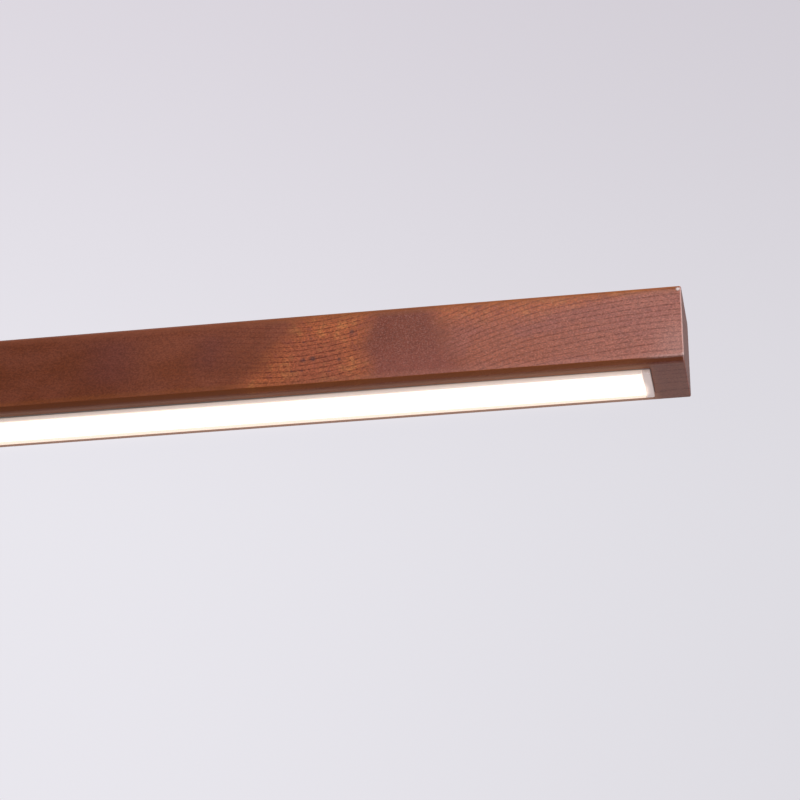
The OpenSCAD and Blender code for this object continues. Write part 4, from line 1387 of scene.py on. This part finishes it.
def grip_base(name, side, centre_x):
    base = turned(name, BASE, centre_x, NICKEL, FITTING_EASE)
    cutters = []
    for face, _ in SIDES:
        near, far = sorted((face * FLAT_START, face * FLAT_REACH))
        flat = soft_outline(rectangle(near, far, 0, FLAT_TOP), FLAT_CORNER)
        start, end = centre_x - FLAT_HALF_LENGTH, centre_x + FLAT_HALF_LENGTH
        cutters.append(prism("flat", flat, "X", start, end, NICKEL))
    inside = Vector((centre_x, 0, EXIT_HEIGHT))
    way_out = Vector((side * math.cos(EXIT_SLOPE), 0, -math.sin(EXIT_SLOPE)))
    cutters.append(rod("wire_exit", inside, inside + way_out * EXIT_LENGTH, EXIT_RADIUS, NICKEL))
    return combine(base, cutters)


def release_nipple(name, centre_x):
    nipple = turned(name, NIPPLE, centre_x, NIPPLE_STEEL, NIPPLE_EASE, NIPPLE_SIDES)
    start = Vector((centre_x, 0, WINDOW_HEIGHT))
    windows = []
    for i in range(BALL_COUNT):
        turn = 2 * math.pi * i / BALL_COUNT
        way_out = Vector((math.cos(turn), math.sin(turn), 0))
        end = start + way_out * WINDOW_REACH
        windows.append(rod("window", start, end, WINDOW_RADIUS, NIPPLE_STEEL, WINDOW_SIDES))
    return combine(nipple, windows)


print("turned parts: washer, base, barrel, nipple and inlet")

# %% [markdown]
# ## Geometry Nodes for what repeats
# The barrels' grip ribs, the LEDs, the screws, the springs and the leads repeat or follow a path, so
# Geometry Nodes make them. Each tree is built here with named inputs. A modifier's inputs are set by their
# identifiers, and the result is taken as a plain mesh, so that the export sees real faces.

# %% Helpers for Geometry Nodes


def new_tree(name, takes):
    """A geometry tree that takes a mesh and these inputs, as (tree, what it takes, its output node)."""
    takes = {"Geometry": "geometry", **takes}
    return new_group(name, "GeometryNodeTree", takes, {"Geometry": "geometry"})


def copies_on(points, shape, **more):
    """A copy of an object on each point, as instances."""
    info = {"Object": shape, "As Instance": True}
    copied = wire(points.tree, "GeometryNodeObjectInfo", info, "Geometry")
    inputs = {"Points": points, "Instance": copied, **more}
    return wire(points.tree, "GeometryNodeInstanceOnPoints", inputs)


def swept(tree, path, radius, sides):
    """A tube of this radius along a path."""
    circle = wire(tree, "GeometryNodeCurvePrimitiveCircle", {"Resolution": sides, "Radius": radius})
    inputs = {"Curve": path, "Profile Curve": circle, "Fill Caps": True}
    return wire(tree, "GeometryNodeCurveToMesh", inputs)


def finish_tree(tree, out, geometry, material):
    """The usual end of a tree: real faces, smooth, with one material."""
    real = wire(tree, "GeometryNodeRealizeInstances", {"Geometry": geometry})
    even = wire(tree, "GeometryNodeSetShadeSmooth", {"Geometry": real})
    painted = wire(tree, "GeometryNodeSetMaterial", {"Geometry": even, "Material": material})
    feed(out, {"Geometry": painted})
    return tree


def grow(piece, tree, values):
    """The piece's mesh run through a tree, with the inputs set by name."""
    modifier = piece.modifiers.new(tree.name, "NODES")
    modifier.node_group = tree
    for item in tree.interface.items_tree:
        if item.in_out == "INPUT" and item.name in values:
            modifier[item.identifier] = values[item.name]
    return as_plain_mesh(piece)


def seed(name, points, edges=(), marks=None):
    """An object of bare points, and edges if any, for a tree to grow on."""
    mesh = bpy.data.meshes.new(name)
    mesh.from_pydata([tuple(point) for point in points], list(edges), [])
    if marks:
        mesh.attributes.new("second", "BOOLEAN", "POINT").data.foreach_set("value", marks)
    piece = bpy.data.objects.new(name, mesh)
    bpy.context.scene.collection.objects.link(piece)
    return piece


print("helpers: Geometry Nodes")

# %% [markdown]
# ## Grip ribs on the barrels
# A gripper's barrel is tightened by hand, so a band round it carries fine ribs. One rib is a small ridge
# with sloping ends. A circle of points carries a copy of it, turned to face outwards at each point, and the
# copies join the turned barrel. Bump in the material would be lighter, but it would leave the outline
# smooth.

# %% Ribbed barrels
RIB_COUNT = 60
RIB_LOW, RIB_HIGH, RIB_SLOPE = 11.2 * MM, 16.2 * MM, 0.4 * MM
RIB_HALF_WIDTH, RIB_TOP_SHARE = 0.28 * MM, 0.3
RIB_ROOT, RIB_FOOT, RIB_TOP = -0.1 * MM, -0.05 * MM, 0.21 * MM
BARREL_RADIUS = 6.5 * MM


def rib():
    """A ridge that stands along Z and points along X, from just inside the barrel's wall."""
    heights = (
        (RIB_LOW, RIB_FOOT), (RIB_LOW + RIB_SLOPE, RIB_TOP),
        (RIB_HIGH - RIB_SLOPE, RIB_TOP), (RIB_HIGH, RIB_FOOT),
    )
    wide, narrow = RIB_HALF_WIDTH, RIB_HALF_WIDTH * RIB_TOP_SHARE
    rings = [
        [(RIB_ROOT, -wide, z), (top, -narrow, z), (top, narrow, z), (RIB_ROOT, wide, z)]
        for z, top in heights
    ]
    return skin("rib", rings, NICKEL)


def ribbed_tree():
    takes = {"Rib": "object", "Count": "count", "Radius": "value", "Centre": "vector", "Finish": "material"}
    tree, given, out = new_tree("grip ribs", takes)
    circle = wire(tree, "GeometryNodeMeshCircle", {"Vertices": given["Count"], "Radius": given["Radius"]})
    x, y, _ = axes_of(wire(tree, "GeometryNodeInputPosition"))
    turn = vector_of(0.0, 0.0, calc("ARCTAN2", y, x))
    rotation = wire(tree, "FunctionNodeEulerToRotation", {0: turn})
    ribs = copies_on(circle, given["Rib"], Rotation=rotation)
    moved = wire(tree, "GeometryNodeTransform", {"Geometry": ribs, "Translation": given["Centre"]})
    both = add(tree, "GeometryNodeJoinGeometry")
    for geometry in (given["Geometry"], moved):
        feed(both, {0: geometry})
    return finish_tree(tree, out, Wire(both.outputs[0]), given["Finish"])


RIBBED = ribbed_tree()
rib_shape = rib()
barrels = {}
for side, end in SIDES:
    centre_x = side * grip_x
    barrel = turned("gripper_barrel_" + end, BARREL, centre_x, NICKEL, FITTING_EASE)
    barrels[end] = grow(barrel, RIBBED, {
        "Rib": rib_shape, "Count": RIB_COUNT, "Radius": BARREL_RADIUS,
        "Centre": (centre_x, 0, 0), "Finish": NICKEL,
    })
bpy.data.objects.remove(rib_shape)
print("barrels:", RIB_COUNT, "ribs each")

# %% [markdown]
# ## Springs
# The spring inside each barrel is a coil of round wire. A Curve Spiral gives its path, and Curve to Mesh
# carries a small circle along it. It stays with the lamp, and in the real lamp it gets shorter when its
# nipple is pressed.

# %% Springs
SPRING_LOW, SPRING_LENGTH = 12.2 * MM, 6.4 * MM
SPRING_RADIUS, SPRING_WIRE, SPRING_TURNS = 2.15 * MM, 0.25 * MM, 5.0
SPRING_STEPS, SPRING_SIDES = 32, 12


def spring_tree():
    takes = {"Radius": "value", "Wire": "value", "Turns": "value", "Length": "value", "Foot": "vector"}
    tree, given, out = new_tree("coil spring", {**takes, "Finish": "material"})
    coil = wire(tree, "GeometryNodeCurveSpiral", {
        "Resolution": SPRING_STEPS, "Rotations": given["Turns"], "Start Radius": given["Radius"],
        "End Radius": given["Radius"], "Height": given["Length"],
    })
    tube = swept(tree, coil, given["Wire"], SPRING_SIDES)
    stood = wire(tree, "GeometryNodeTransform", {"Geometry": tube, "Translation": given["Foot"]})
    return finish_tree(tree, out, stood, given["Finish"])


COIL_SPRING = spring_tree()


def coil_spring(name, centre_x):
    return grow(seed(name, []), COIL_SPRING, {
        "Radius": SPRING_RADIUS, "Wire": SPRING_WIRE, "Turns": SPRING_TURNS,
        "Length": SPRING_LENGTH - 2 * SPRING_WIRE, "Foot": (centre_x, 0, SPRING_LOW + SPRING_WIRE),
        "Finish": SPRING_STEEL,
    })


print("springs:", SPRING_TURNS, "turns")

# %% [markdown]
# ## Seating the fittings
# The washer, base and barrel stay with the lamp. The nipple is on a body of its own, because it slides.
# The balls in its cage keep their CAD spheres.

# %% Grippers and inlet
for side, end in SIDES:
    centre_x = side * grip_x
    washer = turned("gripper_washer_" + end, WASHER, centre_x, NICKEL)
    seat(washer, "lamp", "satin_nickel", "washer_" + end)
    base = grip_base("gripper_base_" + end, side, centre_x)
    seat(base, "lamp", "satin_nickel", "grip_base_" + end)
    seat(barrels[end], "lamp", "satin_nickel", "grip_barrel_" + end)
    nipple = release_nipple("nipple_" + end, centre_x)
    seat(nipple, "nipple_" + end, "nipple_steel", "release_nipple_" + end)
    spring = coil_spring("spring_" + end, centre_x)
    seat(spring, "lamp", "spring_steel", "grip_spring_" + end)
    "release_" + end
    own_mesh(spring)
inlet = turned("cord_inlet", INLET, 0.0, NICKEL, INLET_EASE)
seat(inlet, "lamp", "satin_nickel", "inlet_bush")

# %% [markdown]
# ## LED rows
# An LED is a small package with softened edges and a sunken window. A Mesh Line gives the row's places, and
# each carries one package. Thirty-five sit on each board, so a package has only a few dozen faces.

# %% LEDs
LED_SIZE = Vector((3.5, 2.8, 0.8)) * MM
LED_EDGE, LED_RIM, LED_SINK = 0.12 * MM, 0.45 * MM, 0.1 * MM
LEDS_PER_BOARD = 35
LED_PITCH = LED_PITCH_MM * MM
_, led_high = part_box("leds_right")


def led_shape():
    """One package, with its top at the origin and its window facing down."""
    build = bmesh.new()
    bmesh.ops.create_cube(build, size=1.0)
    bmesh.ops.scale(build, verts=build.verts, vec=LED_SIZE)
    bmesh.ops.translate(build, verts=build.verts, vec=(0, 0, -LED_SIZE.z / 2))
    bmesh.ops.bevel(build, geom=build.edges, offset=LED_EDGE, segments=1, affect="EDGES")
    window = [face for face in build.faces if face.normal.z < -0.9]
    bmesh.ops.inset_individual(build, faces=window, thickness=LED_RIM, depth=-LED_SINK)
    return finished_mesh("led", build, LED_PACKAGE)


def row_tree():
    takes = {"Shape": "object", "Count": "count", "Start": "vector", "Step": "vector", "Finish": "material"}
    tree, given, out = new_tree("row", takes)
    inputs = {"Count": given["Count"], "Start Location": given["Start"], "Offset": given["Step"]}
    line = wire(tree, "GeometryNodeMeshLine", inputs)
    return finish_tree(tree, out, copies_on(line, given["Shape"]), given["Finish"])


ROW = row_tree()
led = led_shape()
for side, end in SIDES:
    row = grow(seed("led_row_" + end, []), ROW, {
        "Shape": led, "Count": LEDS_PER_BOARD, "Start": (side * LED_PITCH / 2, 0, led_high.z),
        "Step": (side * LED_PITCH, 0, 0), "Finish": LED_PACKAGE,
    })
    seat(row, "lamp", "led_package", "leds_" + end)
bpy.data.objects.remove(led)

# %% [markdown]
# ## Screws
# One screw is turned with a pan head, a ridged shank and a point, and a cross is cut into its head. The
# channel's eight screws and the pocket's three stand at listed places, so a copy is put on each point. The
# two lists need two lengths, and so two screws.

# %% Screws
HEAD_RADIUS, HEAD_HEIGHT, CROWN_RADIUS, CROWN_SHARE = 2.8, 1.8, 1.9, 0.45
HEAD_EASE, SCREW_EASE, SCREW_SIDES = 0.4, 0.1, 20
THREAD_PITCH, THREAD_DEPTH, THREAD_START, RIDGE_SHARE = 1.2, 0.35, 1.5, 0.45
PLAIN_LENGTH, POINT_LENGTH = 4, 2.5
CROSS_HALF, CROSS_WIDTH, CROSS_DEPTH = 1.5 * MM, 0.6 * MM, 1.0 * MM


def screw_shape(length):
    """A screw that points up, with the underside of its head at height 0; length in metres."""
    long, radius = length / MM, SCREW_RADIUS / MM
    core = radius - THREAD_DEPTH
    outline = [
        (0, -HEAD_HEIGHT, 0), (CROWN_RADIUS, -HEAD_HEIGHT, HEAD_EASE),
        (HEAD_RADIUS, -HEAD_HEIGHT * CROWN_SHARE, HEAD_EASE), (HEAD_RADIUS, 0), (core, 0),
    ]
    for i in range(int((long - PLAIN_LENGTH) / THREAD_PITCH)):
        z = THREAD_START + i * THREAD_PITCH
        outline += [(core, z, 0), (radius, z + RIDGE_SHARE * THREAD_PITCH, 0)]
    outline += [(core, long - POINT_LENGTH, 0), (0, long, 0)]
    screw = turned("screw", outline, 0.0, ZINC, SCREW_EASE, SCREW_SIDES)
    low = -HEAD_HEIGHT * MM
    cross = [
        prism("cross", rectangle(-a, a, -b, b), "Z", low - PAST, low + CROSS_DEPTH, ZINC)
        for a, b in ((CROSS_HALF, CROSS_WIDTH / 2), (CROSS_WIDTH / 2, CROSS_HALF))
    ]
    return combine(screw, cross)


def scatter_tree():
    tree, given, out = new_tree("copies on points", {"Shape": "object", "Finish": "material"})
    return finish_tree(tree, out, copies_on(given["Geometry"], given["Shape"]), given["Finish"])


COPIES = scatter_tree()
for name, node, places, length in (
    ("channel_screw_set", "channel_screws", CHANNEL_SCREWS, CHANNEL_SCREW_LENGTH),
    ("pocket_screw_set", "pocket_screws", POCKET_SCREWS, POCKET_SCREW_LENGTH),
):
    screw = screw_shape(length)
    seat(grow(seed(name, places), COPIES, {"Shape": screw, "Finish": ZINC}), "lamp", "zinc_steel", node)
    bpy.data.objects.remove(screw)

# %% [markdown]
# ## Leads
# The leads inside the beam run from the terminal block to the driver, and from the driver through a grommet
# to the LED boards. Each pair is two rows of points. Mesh to Curve makes paths of them, a Catmull-Rom
# spline smooths these, and a circle is carried along. A mark on the points of the second lead gives it its
# own colour.

# %% Leads
MAINS_RADIUS, LED_LEAD_RADIUS = 1.1 * MM, 0.7 * MM
MAINS_WAY = ((-35, -25), (-20, -25), (-12, -25.6), (0, -26.2), (12, -25.6), (28, -25), (33.2, -25))
MAINS_Y = 5
LED_LEAD_Y, GROMMET_SPREAD = 1.9, 0.95
LEAD_SIDES = 16


def mains_route(side):
    return [Vector((x, side * MAINS_Y, z)) * MM for x, z in MAINS_WAY]


def led_route(side):
    x, y = GROMMET_X - side * GROMMET_SPREAD, side * LED_LEAD_Y
    points = [
        (134.8, y, -25), (138.8 - side, y, -25), (x, (GROMMET_Y + y) / 2, -26.2), (x, GROMMET_Y, -29.8),
        (x, GROMMET_Y, -35.4), (x, 7.075, -36.85), (x, 3.8, -36.85),
    ]
    return [Vector(point) * MM for point in points]


def lead_tree():
    takes = {"Radius": "value", "First": "material", "Second": "material"}
    tree, given, out = new_tree("lead pair", takes)
    path = wire(tree, "GeometryNodeMeshToCurve", {"Mesh": given["Geometry"]})
    path = wire(tree, "GeometryNodeCurveSplineType", {"Curve": path}, spline_type="CATMULL_ROM")
    tube = swept(tree, path, given["Radius"], LEAD_SIDES)
    inputs = {"Name": "second"}
    second = wire(tree, "GeometryNodeInputNamedAttribute", inputs, "Attribute", data_type="BOOLEAN")
    plain = wire(tree, "GeometryNodeSetMaterial", {"Geometry": tube, "Material": given["First"]})
    inputs = {"Geometry": plain, "Selection": second, "Material": given["Second"]}
    feed(out, {"Geometry": wire(tree, "GeometryNodeSetMaterial", inputs)})
    return tree


LEAD_PAIR = lead_tree()


def lead_pair(name, route, radius, first, second):
    points = route(1) + route(-1)
    half = len(points) // 2
    edges = [(i, i + 1) for i in range(len(points) - 1) if i != half - 1]
    marks = [i >= half for i in range(len(points))]
    values = {"Radius": radius, "First": first, "Second": second}
    return grow(seed(name, points, edges, marks), LEAD_PAIR, values)


mains = lead_pair("mains_lead_pair", mains_route, MAINS_RADIUS, BROWN_LEAD, BLUE_LEAD)
seat(mains, "lamp", "lead_brown", "mains_leads")
low_voltage = lead_pair("led_lead_pair", led_route, LED_LEAD_RADIUS, RED_LEAD, BLACK_LEAD)
seat(low_voltage, "lamp", "lead_red", "led_leads")

# %% [markdown]
# ## Finishes for what stays as CAD made it
# The other inner pieces are closed in by the beam and the channel. Their CAD solids already have the right
# shape, so they stay and only get a finish.

# %% Inner pieces
INNER_FINISHES = {
    "thermal_tapes": THERMAL_TAPE,
    "led_board_left": BOARD_WHITE,
    "led_board_right": BOARD_WHITE,
    "board_link": WHITE_PLASTIC,
    "lead_grommet": RUBBER,
    "driver_case": WHITE_PLASTIC,
    "driver_cover": WHITE_PLASTIC,
    "driver_board": CIRCUIT_GREEN,
    "terminal_block": WHITE_PLASTIC,
    "terminal_screws": ZINC,
    "inlet_locknut": NICKEL,
    "insert_left": BRASS,
    "insert_right": BRASS,
    "grip_balls_left": SPRING_STEEL,
    "grip_balls_right": SPRING_STEEL,
}
for node, finish in INNER_FINISHES.items():
    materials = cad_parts[node].data.materials
    materials.clear()
    materials.append(finish)
print("inner pieces:", len(INNER_FINISHES))
